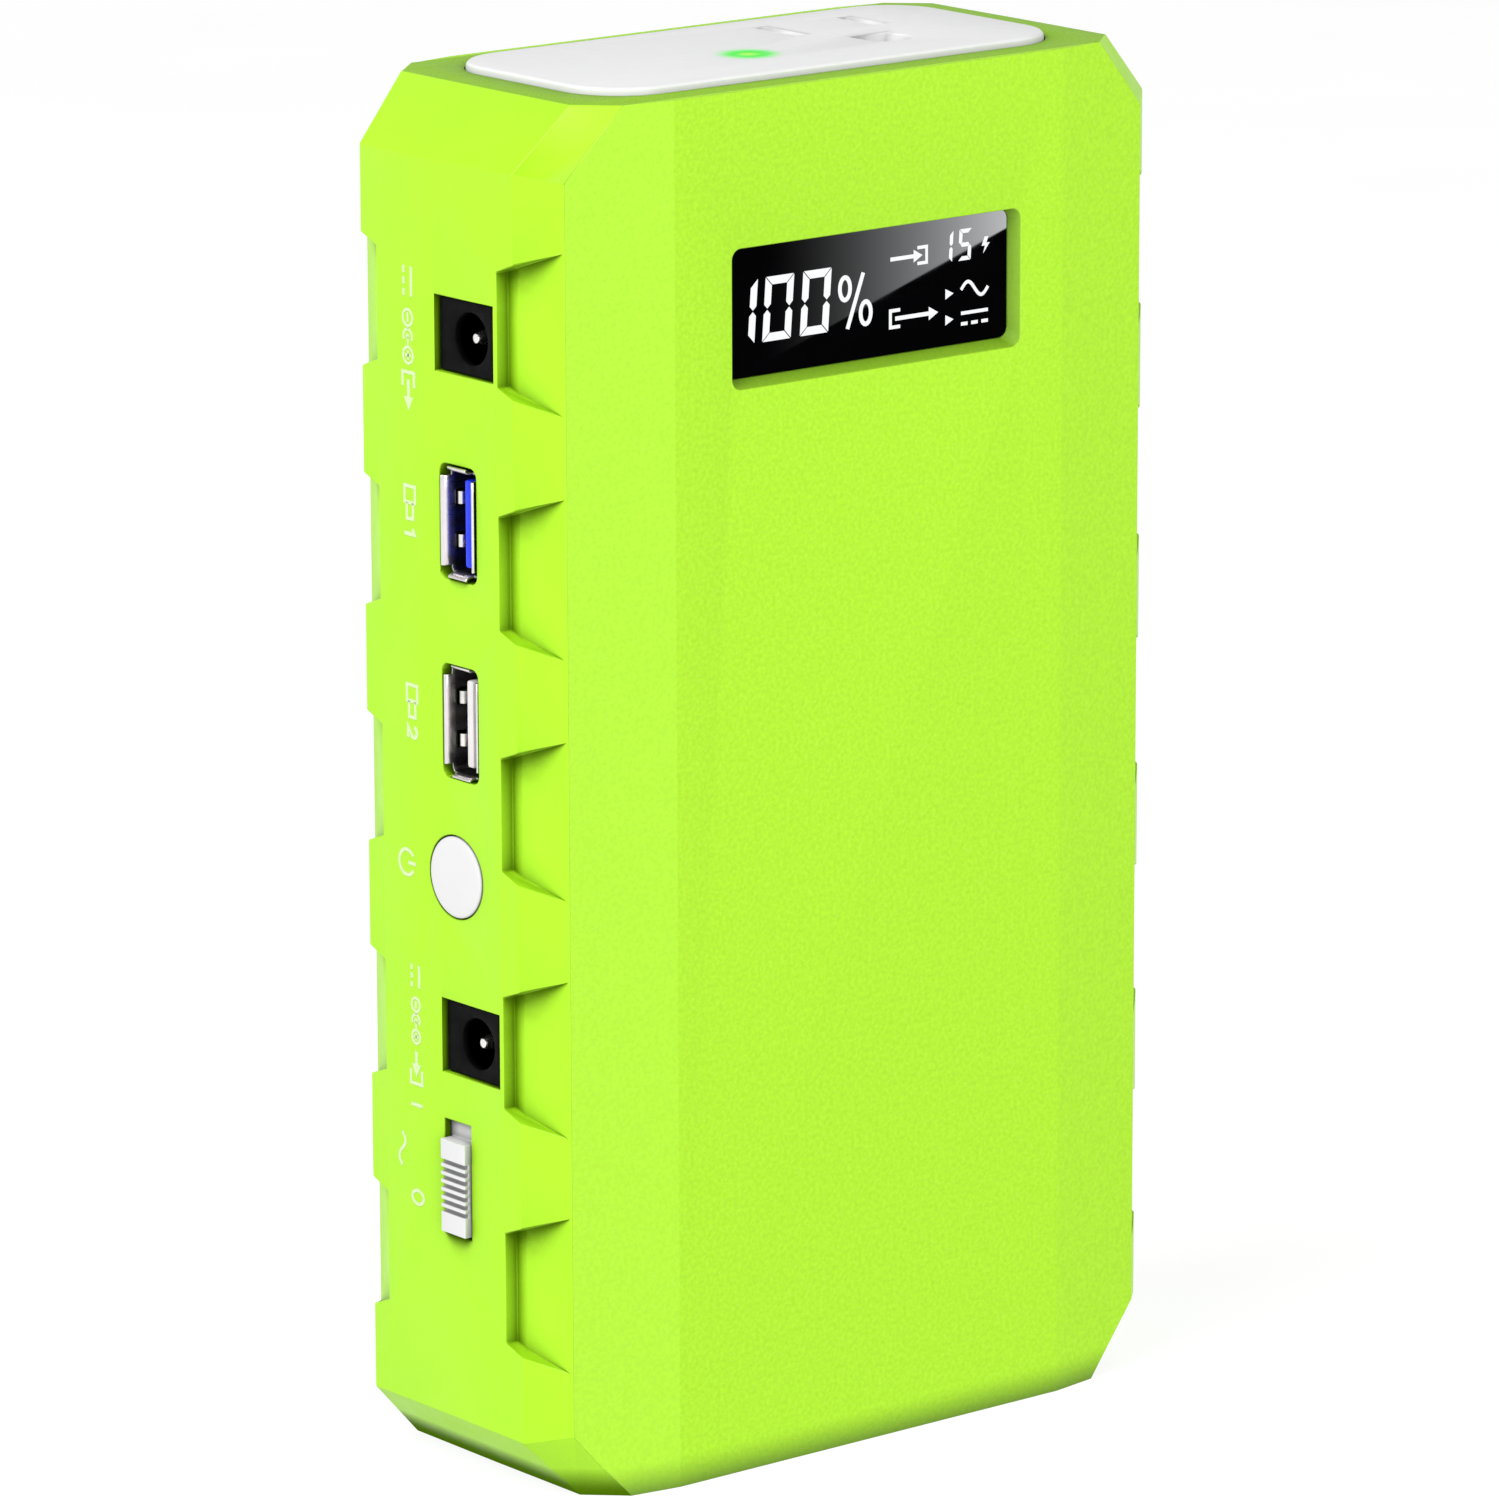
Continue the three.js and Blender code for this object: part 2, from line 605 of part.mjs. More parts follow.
// A flared lip along one edge of the shell's mouth, as a wedge bent outwards.
function usbLips() {
  const { front, width, height, sheet } = USB_SHELL;
  const reach = 0.3;
  const section = (edge) => outline([
    [front, edge - sheet], [front - 0.05, edge + reach], [front + 0.3, edge + reach],
    [front + 0.9, edge], [front + 0.9, edge - sheet],
  ]);
  const longLip = prismZ(section(width / 2), -4.9, 4.9);
  const shortLip = prismY(section(height / 2), -1.6, 1.6);
  return [longLip, longLip.mirror([0, 1, 0]), shortLip, shortLip.mirror([0, 0, 1])];
}

function usbShell(z) {
  const { front, length, width, height, sheet, corner } = USB_SHELL;
  const outer = prismX(roundedRectangle(width, height, corner), front, front + length, 3);
  const inner = prismX(roundedRectangle(width - 2 * sheet, height - 2 * sheet, corner - 0.2),
    front - 1, front + length - sheet, 3);
  return moved(cut(joined([outer, ...usbLips()]), inner), 0, USB.y, z);
}

function usbTongue(z) {
  const { front, length, sheet } = USB_SHELL;
  const back = front + length - sheet - 0.1;
  const blade = box(front + 0.7, back, -1.6, -0.4, -5.25, 5.25);
  const root = box(back - 3, back, -2.35, 2.35, -5.9, 5.9);
  return moved(blade.add(root), 0, USB.y, z);
}

function powerButton() {
  const face = -skinX(BUTTON.y);
  const { radius } = BUTTON;
  return turned([
    [0, face - 0.2], [radius * 0.6, face - 0.17], [radius - 0.3, face - 0.05], [radius, face + 0.2],
    [radius, face + 2.5], [radius + 1.1, face + 2.5], [radius + 1.1, face + 3.5], [2, face + 3.5],
    [2, face + 6.8], [0, face + 6.8],
  ], BUTTON.y, BUTTON.z, 40);
}

function powerSwitch() {
  const body = box(-40.2, -36, BUTTON.y - 3, PORT_BOARD_Y - 0.2, BUTTON.z - 3, BUTTON.z + 3);
  return body.add(rod([-41, BUTTON.y, BUTTON.z], [-40, BUTTON.y, BUTTON.z], 1.7, 16));
}

function acSlider() {
  const skin = -skinX(SLOT.y);
  const { width, bottom, length, proud, ribs, ribPitch, groove } = KNOB;
  const half = width / 2;
  const { front, back, halfWidth } = SLIDE_PLATE;
  const knob = box(skin - proud, back, SLOT.y - half, SLOT.y + half, bottom, bottom + length);
  const first = bottom + length / 2 - ribPitch * (ribs - 1) / 2;
  const grooves = Array.from({ length: ribs }, (_, index) => {
    const z = first + ribPitch * index - groove / 2;
    return box(skin - proud - 1, skin - proud + 0.6, SLOT.y - half - 1, SLOT.y + half + 1, z, z + groove);
  });
  const plate = box(front, back, SLOT.y - halfWidth, SLOT.y + halfWidth,
    SLIDE_PLATE.bottom, SLIDE_PLATE.top);
  const stem = box(back - 0.1, -43, SLOT.y - 1, SLOT.y + 0.6, 36.6, 39.6);
  return joined([cut(knob, ...grooves), plate, stem]);
}

function acSwitchBody() {
  const can = box(-44.9, -39.5, -4.8, PORT_BOARD_Y - 0.2, 30, 47.5);
  const well = box(-46, -42.6, SLOT.y - 1.3, SLOT.y + 0.9, 36.2, 42.1);
  return cut(can, well);
}

function portBoard() {
  const plate = box(-43.5, -31.5, PORT_BOARD_Y, PORT_BOARD_Y + 1.4, 26, 149);
  const chips = [[36, 8], [66, 6], [106, 8]].map(([z, size]) => (
    box(-40, -40 + size * 0.8, PORT_BOARD_Y + 1.4, PORT_BOARD_Y + 2.8, z, z + size)
  ));
  return joined([plate, ...chips]);
}

// ---------------------------------------------------------------------------
// Jump lead socket, its cover, and the torch
// ---------------------------------------------------------------------------

function jumpSocket() {
  const { back, front, halfWidth, halfHeight, floor, contactOffset, bore } = JUMP_SOCKET;
  const shell = box(back, front, -halfWidth, halfWidth, JUMP_Z - halfHeight, JUMP_Z + halfHeight);
  const opening = roundedRectangle(JUMP_SOCKET.mouthWidth, JUMP_SOCKET.mouthHeight, 2);
  const mouth = moved(prismX(opening, floor, front + 1, 4), 0, 0, JUMP_Z);
  const bores = [-1, 1].map((side) => {
    const z = JUMP_Z + side * contactOffset;
    return rod([back - 1, 0, z], [floor + 1, 0, z], bore, 24);
  });
  return cut(shell, mouth, ...bores);
}

function jumpContact(side) {
  const { back, floor, contactOffset, bore } = JUMP_SOCKET;
  const z = JUMP_Z + side * contactOffset;
  const barrel = rod([back - 3, 0, z], [floor - 0.4, 0, z], bore - 0.2, 24);
  return cut(barrel, rod([back - 0.5, 0, z], [floor + 1, 0, z], bore - 0.9, 24));
}

function jumpCover() {
  const { halfHeight, freeY, hingeY, inner, outer } = JUMP_COVER;
  const middle = (freeY + hingeY) / 2;
  const plate = moved(prismX(roundedRectangle(hingeY - freeY, 2 * halfHeight, 1.2), inner, outer, 4),
    0, middle, JUMP_Z);
  const knuckle = onPivot(halfHeight, COVER_PIVOT.radius, 24);
  const corner = box(inner - 1, outer + 1, hingeY - 0.1, hingeY + 3,
    JUMP_Z - halfHeight, JUMP_Z + halfHeight);
  const bore = onPivot(halfHeight + 7, COVER_PIVOT.bore, 16);
  return cut(plate.subtract(corner).add(knuckle), bore);
}

function coverPin() {
  return onPivot(JUMP_COVER.halfHeight + 1.6, COVER_PIVOT.pin, 16);
}

function torchLens() {
  const { z, radius, lensBack } = TORCH;
  const edge = lensBack + 1.4;
  return turned([
    [0, lensBack], [radius, lensBack], [radius, edge], [radius * 0.85, edge + 0.2],
    [radius * 0.45, edge + 0.32], [0, edge + 0.36],
  ], 0, z, 32);
}

// A bowl with a flat rim that the lens rests against.
function torchReflector() {
  const { z, radius, lensBack, bowlBack, throat } = TORCH;
  const rimFront = lensBack - 0.8;
  const rimRadius = radius + 0.9;
  return turned([
    [throat, bowlBack + 0.8], [throat, bowlBack], [throat + 0.8, bowlBack], [radius, rimFront - 1.7],
    [rimRadius, rimFront - 1.2], [rimRadius, rimFront], [radius - 0.2, rimFront], [throat, bowlBack + 0.8],
  ], 0, z, 32);
}

function torchLed() {
  const { z, radius, boardBack } = TORCH;
  const boardFront = boardBack + 1.4;
  const half = 1.3;
  const board = rod([boardBack, 0, z], [boardFront, 0, z], radius - 0.2, 24);
  return board.add(box(boardFront - 0.1, boardFront + 2, -half, half, z - half, z + half));
}

// ---------------------------------------------------------------------------
// Battery and electronics
// ---------------------------------------------------------------------------

function batteryCell(index) {
  const pitch = CELL.thickness + CELL.gap;
  const y = pitch * (index - 1.5);
  const middle = (CELL.left + CELL.right) / 2;
  const pouch = moved(prismZ(roundedRectangle(CELL.right - CELL.left, CELL.thickness, 2.4),
    CELL.bottom, CELL.top, 3), middle, y, 0);
  const tabs = [-1, 1].map((side) => {
    const x = middle + side * 18;
    return box(x - 4, x + 4, y - 0.3, y + 0.3, CELL.top - 1, CELL.top + 2.2);
  });
  return joined([pouch, ...tabs]);
}

function batteryTray() {
  const outer = box(CELL.left - 1.4, CELL.right + 1.4, -17.1, 17.1, 15.3, 60);
  return cut(outer, box(CELL.left - 0.3, CELL.right + 0.3, -16.1, 16.1, 16.5, 62));
}

function foamPad(side) {
  const near = 17.4 * side;
  const far = 18.9 * side;
  return box(-25, 25, Math.min(near, far), Math.max(near, far), 24, 58);
}

function batteryBoard() {
  const plate = box(CELL.left + 1, CELL.right, -15, 15, 102.6, 104.1);
  const transistors = [-10, -3, 4, 11].map((x) => box(x, x + 5, 6, 12, 104.1, 106.2));
  return joined([plate, ...transistors]);
}

function inverterBoard() {
  return box(-28, 29, 10.4, 11.9, 107.5, 149);
}

function transformer() {
  const core = box(-25, -3, -5, 10.2, 110, 134);
  const windows = [-1, 1].map((side) => (
    box(-14 + side * 6 - 2.2, -14 + side * 6 + 2.2, -6, 11, 114, 130)
  ));
  const winding = box(-22, -6, -7, 10.2, 115.5, 128.5);
  return cut(core, ...windows).add(winding);
}

function heatSink() {
  const base = box(2, 22, 8.2, 10.2, 109.5, 127);
  const fins = Array.from({ length: 5 }, (_, index) => (
    box(2 + index * 4.6, 3.6 + index * 4.6, 1.6, 8.4, 109.5, 127)
  ));
  return joined([base, ...fins]);
}

function filterCapacitor(x) {
  return rod([x, 10.2, 138], [x, -9, 138], 5.6, 24);
}

// A heavy lead from the battery board to one contact of the jump socket.
function jumpLead(points, radius) {
  const path = new THREE.CatmullRomCurve3(points.map((point) => new THREE.Vector3(...point)));
  const section = new THREE.Shape();
  section.absarc(0, 0, radius, 0, Math.PI * 2);
  const geometry = new THREE.ExtrudeGeometry(section, {
    steps: 14, curveSegments: 5, extrudePath: path, bevelEnabled: false,
  });
  return solid(geometry);
}

function coverScrew(x, z) {
  const shank = rod([x, -4, z], [x, 18, z], SCREW.shank, 12);
  const head = rod([x, 17.6, z], [x, 19.6, z], SCREW.head, 24);
  const slotA = box(x - 1.5, x + 1.5, 18.8, 20, z - 0.3, z + 0.3);
  const slotB = box(x - 0.3, x + 0.3, 18.8, 20, z - 1.5, z + 1.5);
  return cut(shank.add(head), slotA.add(slotB));
}

// ---------------------------------------------------------------------------
// Assembly
// ---------------------------------------------------------------------------

const group = new THREE.Group();

function add(name, piece, materialName) {
  const mesh = piece.getMesh();
  const geometry = new THREE.BufferGeometry();
  geometry.setAttribute('position', new THREE.BufferAttribute(mesh.vertProperties, 3));
  geometry.setIndex(new THREE.BufferAttribute(mesh.triVerts, 1));
  const material = new THREE.MeshStandardMaterial({ ...materials[materialName], flatShading: true });
  const node = new THREE.Mesh(geometry, material);
  node.name = name;
  group.add(node);
}

add('side_frame', sideFrame(), 'green_smooth');
add('front_cover', frontCover(), 'green_grain');
add('rear_cover', rearCover(), 'green_grain');

add('outlet_panel', outletPanel(), 'white_plastic');
add('outlet_insulator', outletInsulator(), 'black_plastic');
add('outlet_contact_line', bladeContact(OUTLET.x - OUTLET.bladeHalfGap), 'brass');
add('outlet_contact_neutral', bladeContact(OUTLET.x + OUTLET.bladeHalfGap), 'brass');
add('outlet_contact_ground', groundContact(), 'brass');
add('status_light_lens', statusLens(), 'led_green');

add('display_glass', displayGlass(), 'black_glass');
add('display_module', displayModule(), 'black_plastic');
add('display_board', displayBoard(), 'board');

add('dc_output_jack', dcJack(DC_OUT_Z), 'black_plastic');
add('dc_output_pin', dcPin(DC_OUT_Z), 'nickel');
add('dc_input_jack', dcJack(DC_IN_Z), 'black_plastic');
add('dc_input_pin', dcPin(DC_IN_Z), 'nickel');
add('usb_1_shell', usbShell(USB_1_Z), 'nickel');
add('usb_1_tongue', usbTongue(USB_1_Z), 'blue_plastic');
add('usb_2_shell', usbShell(USB_2_Z), 'nickel');
add('usb_2_tongue', usbTongue(USB_2_Z), 'white_plastic');
add('power_button', powerButton(), 'white_plastic');
add('power_button_switch', powerSwitch(), 'black_plastic');
add('ac_switch_slider', acSlider(), 'white_plastic');
add('ac_switch_body', acSwitchBody(), 'steel');
add('port_board', portBoard(), 'board');

add('jump_socket_housing', jumpSocket(), 'blue_plastic');
add('jump_contact_positive', jumpContact(1), 'brass');
add('jump_contact_negative', jumpContact(-1), 'brass');
add('jump_port_cover', jumpCover(), 'rubber');
add('jump_cover_pin', coverPin(), 'steel');
add('torch_lens', torchLens(), 'lens');
add('torch_reflector', torchReflector(), 'nickel');
add('torch_led', torchLed(), 'led_yellow');

for (let index = 0; index < 4; index += 1) {
  add(`battery_cell_${index + 1}`, batteryCell(index), 'pouch');
}
add('battery_tray', batteryTray(), 'black_plastic');
add('foam_pad_front', foamPad(-1), 'foam');
add('foam_pad_rear', foamPad(1), 'foam');
add('battery_board', batteryBoard(), 'board');
add('inverter_board', inverterBoard(), 'board');
add('inverter_transformer', transformer(), 'black_plastic');
add('heat_sink', heatSink(), 'steel');
add('filter_capacitor_1', filterCapacitor(6.5), 'black_plastic');
add('filter_capacitor_2', filterCapacitor(19), 'black_plastic');
add('jump_lead_positive', jumpLead([
  [22, -10, 104.5], [22, -10, 107], [22, -9, 113], [22, -4.5, 119.5], [24.4, -0.7, 122.2], [27.4, 0, 122.3],
], 1.6), 'red_sleeve');
add('jump_lead_negative', jumpLead([
  [19, -3, 104.5], [19, -3, 106.5], [20.2, -2.2, 111], [23.6, -0.6, 113.5], [27.4, 0, 113.7],
], 1.6), 'black_plastic');

bossPositions().forEach(([x, z], index) => {
  add(`cover_screw_${index + 1}`, coverScrew(x, z), 'steel');
});

export default group;
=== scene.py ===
import math

import bmesh
import bpy
from mathutils import Matrix, Vector


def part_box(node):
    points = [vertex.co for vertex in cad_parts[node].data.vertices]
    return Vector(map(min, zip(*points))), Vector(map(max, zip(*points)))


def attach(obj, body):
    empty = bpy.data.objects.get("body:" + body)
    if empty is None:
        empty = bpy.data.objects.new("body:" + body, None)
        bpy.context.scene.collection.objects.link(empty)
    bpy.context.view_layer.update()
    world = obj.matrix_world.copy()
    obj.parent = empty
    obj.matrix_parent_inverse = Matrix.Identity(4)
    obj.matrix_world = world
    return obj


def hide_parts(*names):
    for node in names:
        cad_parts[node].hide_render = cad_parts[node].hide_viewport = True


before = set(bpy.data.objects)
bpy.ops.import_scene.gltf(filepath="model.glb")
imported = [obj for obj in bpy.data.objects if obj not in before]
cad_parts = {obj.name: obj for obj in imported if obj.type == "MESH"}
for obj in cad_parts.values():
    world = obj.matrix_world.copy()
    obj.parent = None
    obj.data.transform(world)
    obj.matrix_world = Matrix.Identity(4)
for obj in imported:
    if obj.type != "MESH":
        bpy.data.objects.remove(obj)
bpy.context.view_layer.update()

MM = 0.001
CASING, BUTTON, FLAP = "casing", "button", "port_cover"


def middle_of(node):
    low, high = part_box(node)
    return (low + high) / 2


def set_all(made, settings):
    for key, value in settings.items():
        setattr(made, key, value)
    return made


def add_object(name, data):
    made = bpy.data.objects.new(name, data)
    bpy.context.scene.collection.objects.link(made)
    return made


def mesh_object(name, mesh, material):
    """Turns a bmesh into an object with one material."""
    data = bpy.data.meshes.new(name)
    mesh.to_mesh(data)
    mesh.free()
    data.materials.append(material)
    return add_object(name, data)


class Nodes:
    """A node tree that nodes are added to, each with its inputs and settings in one call."""

    def __init__(self, tree):
        self.tree = tree

    def plug(self, socket, value):
        if isinstance(value, bpy.types.NodeSocket):
            self.tree.links.new(value, socket)
        elif isinstance(value, tuple) and len(value) == 3 and socket.type == "RGBA":
            socket.default_value = (*value, 1)
        else:
            socket.default_value = value

    def add(self, kind, inputs=None, **settings):
        made = set_all(self.tree.nodes.new(kind), settings)
        for socket, value in (inputs or {}).items():
            self.plug(made.inputs[socket], value)
        return made

    def math(self, operation, a, b=0.0):
        return self.add("ShaderNodeMath", {0: a, 1: b}, operation=operation).outputs[0]

    def times(self, a, b):
        return self.math("MULTIPLY", a, b)


# ---- Camera, light and floor ----

CAMERA_YAW = math.radians(38.936)
CAMERA_PITCH = math.radians(13.503)
CAMERA_ROLL = math.radians(-0.167)
CAMERA_LENS = 212.8
CAMERA_DISTANCE = 1077.23 * MM
AIM_RIGHT = 1.21 * MM
AIM_UP = 1.55 * MM


def body_middle():
    """The middle of the body without its outlet panel: the axis of the plan, halfway up."""
    return Vector((0, 0, middle_of("side_frame").z))


def make_camera():
    data = bpy.data.cameras.new("camera")
    data.lens = CAMERA_LENS
    camera = add_object("camera", data)
    forward = Vector((
        math.sin(CAMERA_YAW) * math.cos(CAMERA_PITCH),
        math.cos(CAMERA_YAW) * math.cos(CAMERA_PITCH),
        -math.sin(CAMERA_PITCH),
    ))
    level = Vector((math.cos(CAMERA_YAW), -math.sin(CAMERA_YAW), 0))
    upright = level.cross(forward)
    right = level * math.cos(CAMERA_ROLL) + upright * math.sin(CAMERA_ROLL)
    up = upright * math.cos(CAMERA_ROLL) - level * math.sin(CAMERA_ROLL)
    place = body_middle() - right * AIM_RIGHT - up * AIM_UP - forward * CAMERA_DISTANCE
    turn = Matrix((right, up, -forward)).transposed().to_4x4()
    camera.matrix_world = Matrix.Translation(place) @ turn
    bpy.context.scene.camera = camera
    return place


def area_light(name, azimuth, elevation, distance, size, share):
    """A soft box aimed at the body. share is the light it adds, as a part of the white room's."""
    data = bpy.data.lights.new(name, "AREA")
    data.shape = "SQUARE"
    data.size = size
    data.energy = share * (math.pi * distance) ** 2
    light = add_object(name, data)
    a, e = math.radians(azimuth), math.radians(elevation)
    back = Vector((math.sin(a) * math.cos(e), -math.cos(a) * math.cos(e), math.sin(e)))
    light.location = body_middle() + back * distance
    light.rotation_mode = "QUATERNION"
    light.rotation_quaternion = (-back).to_track_quat("-Z", "Y")


WALL_LIGHT = 0.95
CEILING_LIGHT = 0.3


def make_room():
    """A white room, bright round the sides and dimmer overhead, with two soft boxes."""
    bpy.context.scene.view_settings.view_transform = "Standard"
    world = bpy.data.worlds.new("white_room")
    world.use_nodes = True
    room = Nodes(world.node_tree)
    direction = room.add("ShaderNodeTexCoord").outputs["Generated"]
    height = room.add("ShaderNodeSeparateXYZ", {0: direction}).outputs["Z"]
    fade = room.add("ShaderNodeMapRange", {
        "Value": height, "From Min": 0.1, "From Max": 0.8, "To Min": WALL_LIGHT, "To Max": CEILING_LIGHT,
    }, interpolation_type="SMOOTHSTEP")
    background = room.tree.nodes["Background"].inputs
    room.plug(background["Color"], (1, 1, 1))
    room.plug(background["Strength"], fade.outputs["Result"])
    bpy.context.scene.world = world
    area_light("key_light", azimuth=-86, elevation=46, distance=1.4, size=0.9, share=0.86)
    area_light("fill_light", azimuth=-8, elevation=20, distance=1.5, size=1.0, share=0.46)


# ---- Materials ----

class Shader(Nodes):
    """One procedural material, built up around a Principled shader. Sizes are in metres."""

    def __init__(self, name):
        self.material = bpy.data.materials.new(name)
        self.material.use_nodes = True
        super().__init__(self.material.node_tree)
        self.surface = self.tree.nodes["Principled BSDF"]
        self.place = self.add("ShaderNodeTexCoord").outputs["Object"]

    def set(self, **inputs):
        for name, value in inputs.items():
            self.plug(self.surface.inputs[name.replace("_", " ")], value)
        return self.material

    def noise(self, size, detail=2.0, stretch=None):
        vector = self.place
        if stretch:
            vector = self.add("ShaderNodeMapping", {"Vector": vector, "Scale": stretch}).outputs[0]
        made = self.add("ShaderNodeTexNoise", {"Vector": vector, "Scale": 1 / size, "Detail": detail})
        return made.outputs["Fac"]

    def cells(self, size):
        made = self.add("ShaderNodeTexVoronoi", {"Vector": self.place, "Scale": 1 / size})
        return made.outputs["Distance"]

    def spread(self, value, low, high, start=0.3, end=0.7):
        """Maps start..end of value to low..high, and holds it there beyond."""
        made = self.add("ShaderNodeMapRange", {
            "Value": value, "From Min": start, "From Max": end, "To Min": low, "To Max": high,
        })
        return made.outputs["Result"]

    def mix(self, factor, a, b):
        return self.add("ShaderNodeMix", {0: factor, 6: a, 7: b}, data_type="RGBA").outputs[2]

    def axis(self, vector, name):
        return self.add("ShaderNodeSeparateXYZ", {0: vector}).outputs[name]

    def facing(self, name):
        """How far the surface faces along one axis of the object."""
        normal = self.add("ShaderNodeNewGeometry").outputs["Normal"]
        return self.axis(normal, name)

    def bump(self, height, depth, strength=1.0, under=None):
        inputs = {"Height": height, "Distance": depth, "Strength": strength}
        if under:
            inputs["Normal"] = under
        return self.add("ShaderNodeBump", inputs).outputs["Normal"]

    def cavity(self, distance):
        """0 deep in a corner, 1 in the open: a mask for painted shade."""
        made = self.add("ShaderNodeAmbientOcclusion", {"Distance": distance}, samples=8)
        return self.math("POWER", self.spread(made.outputs["AO"], 0, 1, 0.35, 1.0), 1.25)

    def overhang(self, distance):
        """0 on a wall just under a ledge, 1 on a wall in the open and on faces that look down: a mask
        for painted shadow under ledges.
        """
        up = self.add("ShaderNodeCombineXYZ", {2: 1.0}).outputs[0]
        sky = self.add("ShaderNodeAmbientOcclusion", {"Distance": distance, "Normal": up}, samples=16)
        shelter = self.spread(sky.outputs["AO"], 0, 1, 0.15, 0.42)
        return self.math("MAXIMUM", shelter, self.spread(self.facing("Z"), 1, 0, -0.35, -0.15))

    def edges(self, radius):
        """1 along the corners of the shape, 0 on its open faces."""
        rounded = self.add("ShaderNodeBevel", {"Radius": radius}, samples=4).outputs["Normal"]
        normal = self.add("ShaderNodeNewGeometry").outputs["Normal"]
        dot = self.add("ShaderNodeVectorMath", {0: rounded, 1: normal}, operation="DOT_PRODUCT")
        return self.spread(dot.outputs["Value"], 1.0, 0.0, 0.86, 0.995)


GREEN_LIGHT = (0.362, 0.710, 0.0130)
GREEN_DEEP = (0.350, 0.700, 0.0120)
# GREEN_RIM is the darker green of faces that look up; on faces that look down it is painted shade.
GREEN_RIM = (0.212, 0.415, 0.014)
# The edge colour is a painted highlight, and GREEN_SHADE is the colour of painted shade.
GREEN_EDGE_HIGHLIGHT = (0.430, 0.750, 0.040)
GREEN_SHADE = (0.060, 0.135, 0.0008)


def green_smooth():
    """Satin moulded shell. Faces that look straight up are darker and carry the mould's grain; faces
    that look down carry some of it, and their darker colour is painted shade. Corners and walls under
    ledges carry painted shade, and edges a painted highlight.
    """
    s = Shader("green_smooth")
    broad = s.spread(s.noise(9 * MM), 0, 1, 0.35, 0.65)
    up = s.facing("Z")
    # rim: faces that look straight up, darker and grained, and faces that look down, where the darker
    # colour is painted shade.
    rim = s.math("MAXIMUM", s.spread(up, 0, 1, 0.95, 0.99), s.spread(up, 0.3, 0, -0.5, -0.3))
    speckle = s.spread(s.noise(0.35 * MM, 3), 0, 1, 0.35, 0.65)
    grained = s.mix(speckle, GREEN_RIM, tuple(1.25 * v for v in GREEN_RIM))
    plain = s.mix(broad, GREEN_DEEP, GREEN_LIGHT)
    # Painted shade in corners and a painted shadow under ledges, eased on faces that look up; the same
    # mask dims the sheen there.
    ledge = s.times(s.spread(up, 0, 0.7, 0.80, 0.90), s.math("SUBTRACT", 1, rim))
    open_air = s.times(s.math("MAXIMUM", s.cavity(4 * MM), ledge), s.overhang(6 * MM))
    colour = s.mix(open_air, GREEN_SHADE, s.mix(rim, plain, grained))
    # A painted highlight along the edges, held back in corners.
    lighter_and_edge_highlight = s.times(s.edges(0.25 * MM), s.times(open_air, 0.25))
    fine = s.bump(s.noise(0.18 * MM, 2), 0.006 * MM, 0.5)
    sand = s.bump(s.noise(0.45 * MM, 3), 0.05 * MM, s.times(rim, 0.9), fine)
    return s.set(
        Base_Color=s.mix(lighter_and_edge_highlight, colour, GREEN_EDGE_HIGHLIGHT),
        Roughness=s.math("ADD", s.spread(s.noise(2.5 * MM), 0.36, 0.46), s.times(rim, 0.2)),
        Specular_IOR_Level=s.times(open_air, 0.30),
        Normal=sand,
    )


def green_grain(window):
    """Sandy moulded covers: a spark-eroded grain with faint lighter and darker specks.

    Painted shade darkens the slopes round the window, which lies between two corners, and the cover's
    corners and recesses. Faces turned towards -X are paler with painted light.
    """
    s = Shader("green_grain")
    low, high = window
    # slope: a mask for painted shade on the faces round the window that don't face the front.
    slope = s.spread(s.facing("Y"), 0, 0.5, -0.97, -0.85)
    for name, start, end in (("X", low.x, high.x), ("Y", low.y, high.y), ("Z", low.z, high.z)):
        place = {0: s.axis(s.place, name), 1: (start + end) / 2, 2: (end - start) / 2}
        inside = s.add("ShaderNodeMath", place, operation="COMPARE").outputs[0]
        slope = s.times(slope, inside)
    blotch = s.spread(s.noise(0.55 * MM, 5), 0, 1, 0.34, 0.66)
    speck = s.spread(s.noise(0.30 * MM, 2), 0, 1, 0.58, 0.72)
    base = s.mix(blotch, (0.325, 0.645, 0.0050), (0.378, 0.722, 0.0085))
    base = s.mix(s.times(speck, 0.55), base, (0.400, 0.730, 0.055))
    # Faces turned towards -X are made paler: painted light.
    base = s.mix(s.spread(s.facing("X"), 0.4, 0, -0.2, -0.05), base, (0.400, 0.740, 0.045))
    # Painted shade in corners and recesses, and on the slopes round the window.
    colour = s.mix(s.cavity(4 * MM), GREEN_SHADE, s.mix(slope, base, GREEN_SHADE))
    pits = s.cells(0.42 * MM)
    grit = s.noise(0.3 * MM, 3)
    return s.set(
        Base_Color=colour,
        Roughness=s.spread(s.noise(0.5 * MM, 2), 0.55, 0.7),
        Specular_IOR_Level=0.42,
        Normal=s.bump(pits, 0.02 * MM, 0.45, s.bump(grit, 0.03 * MM, 0.6)),
    )


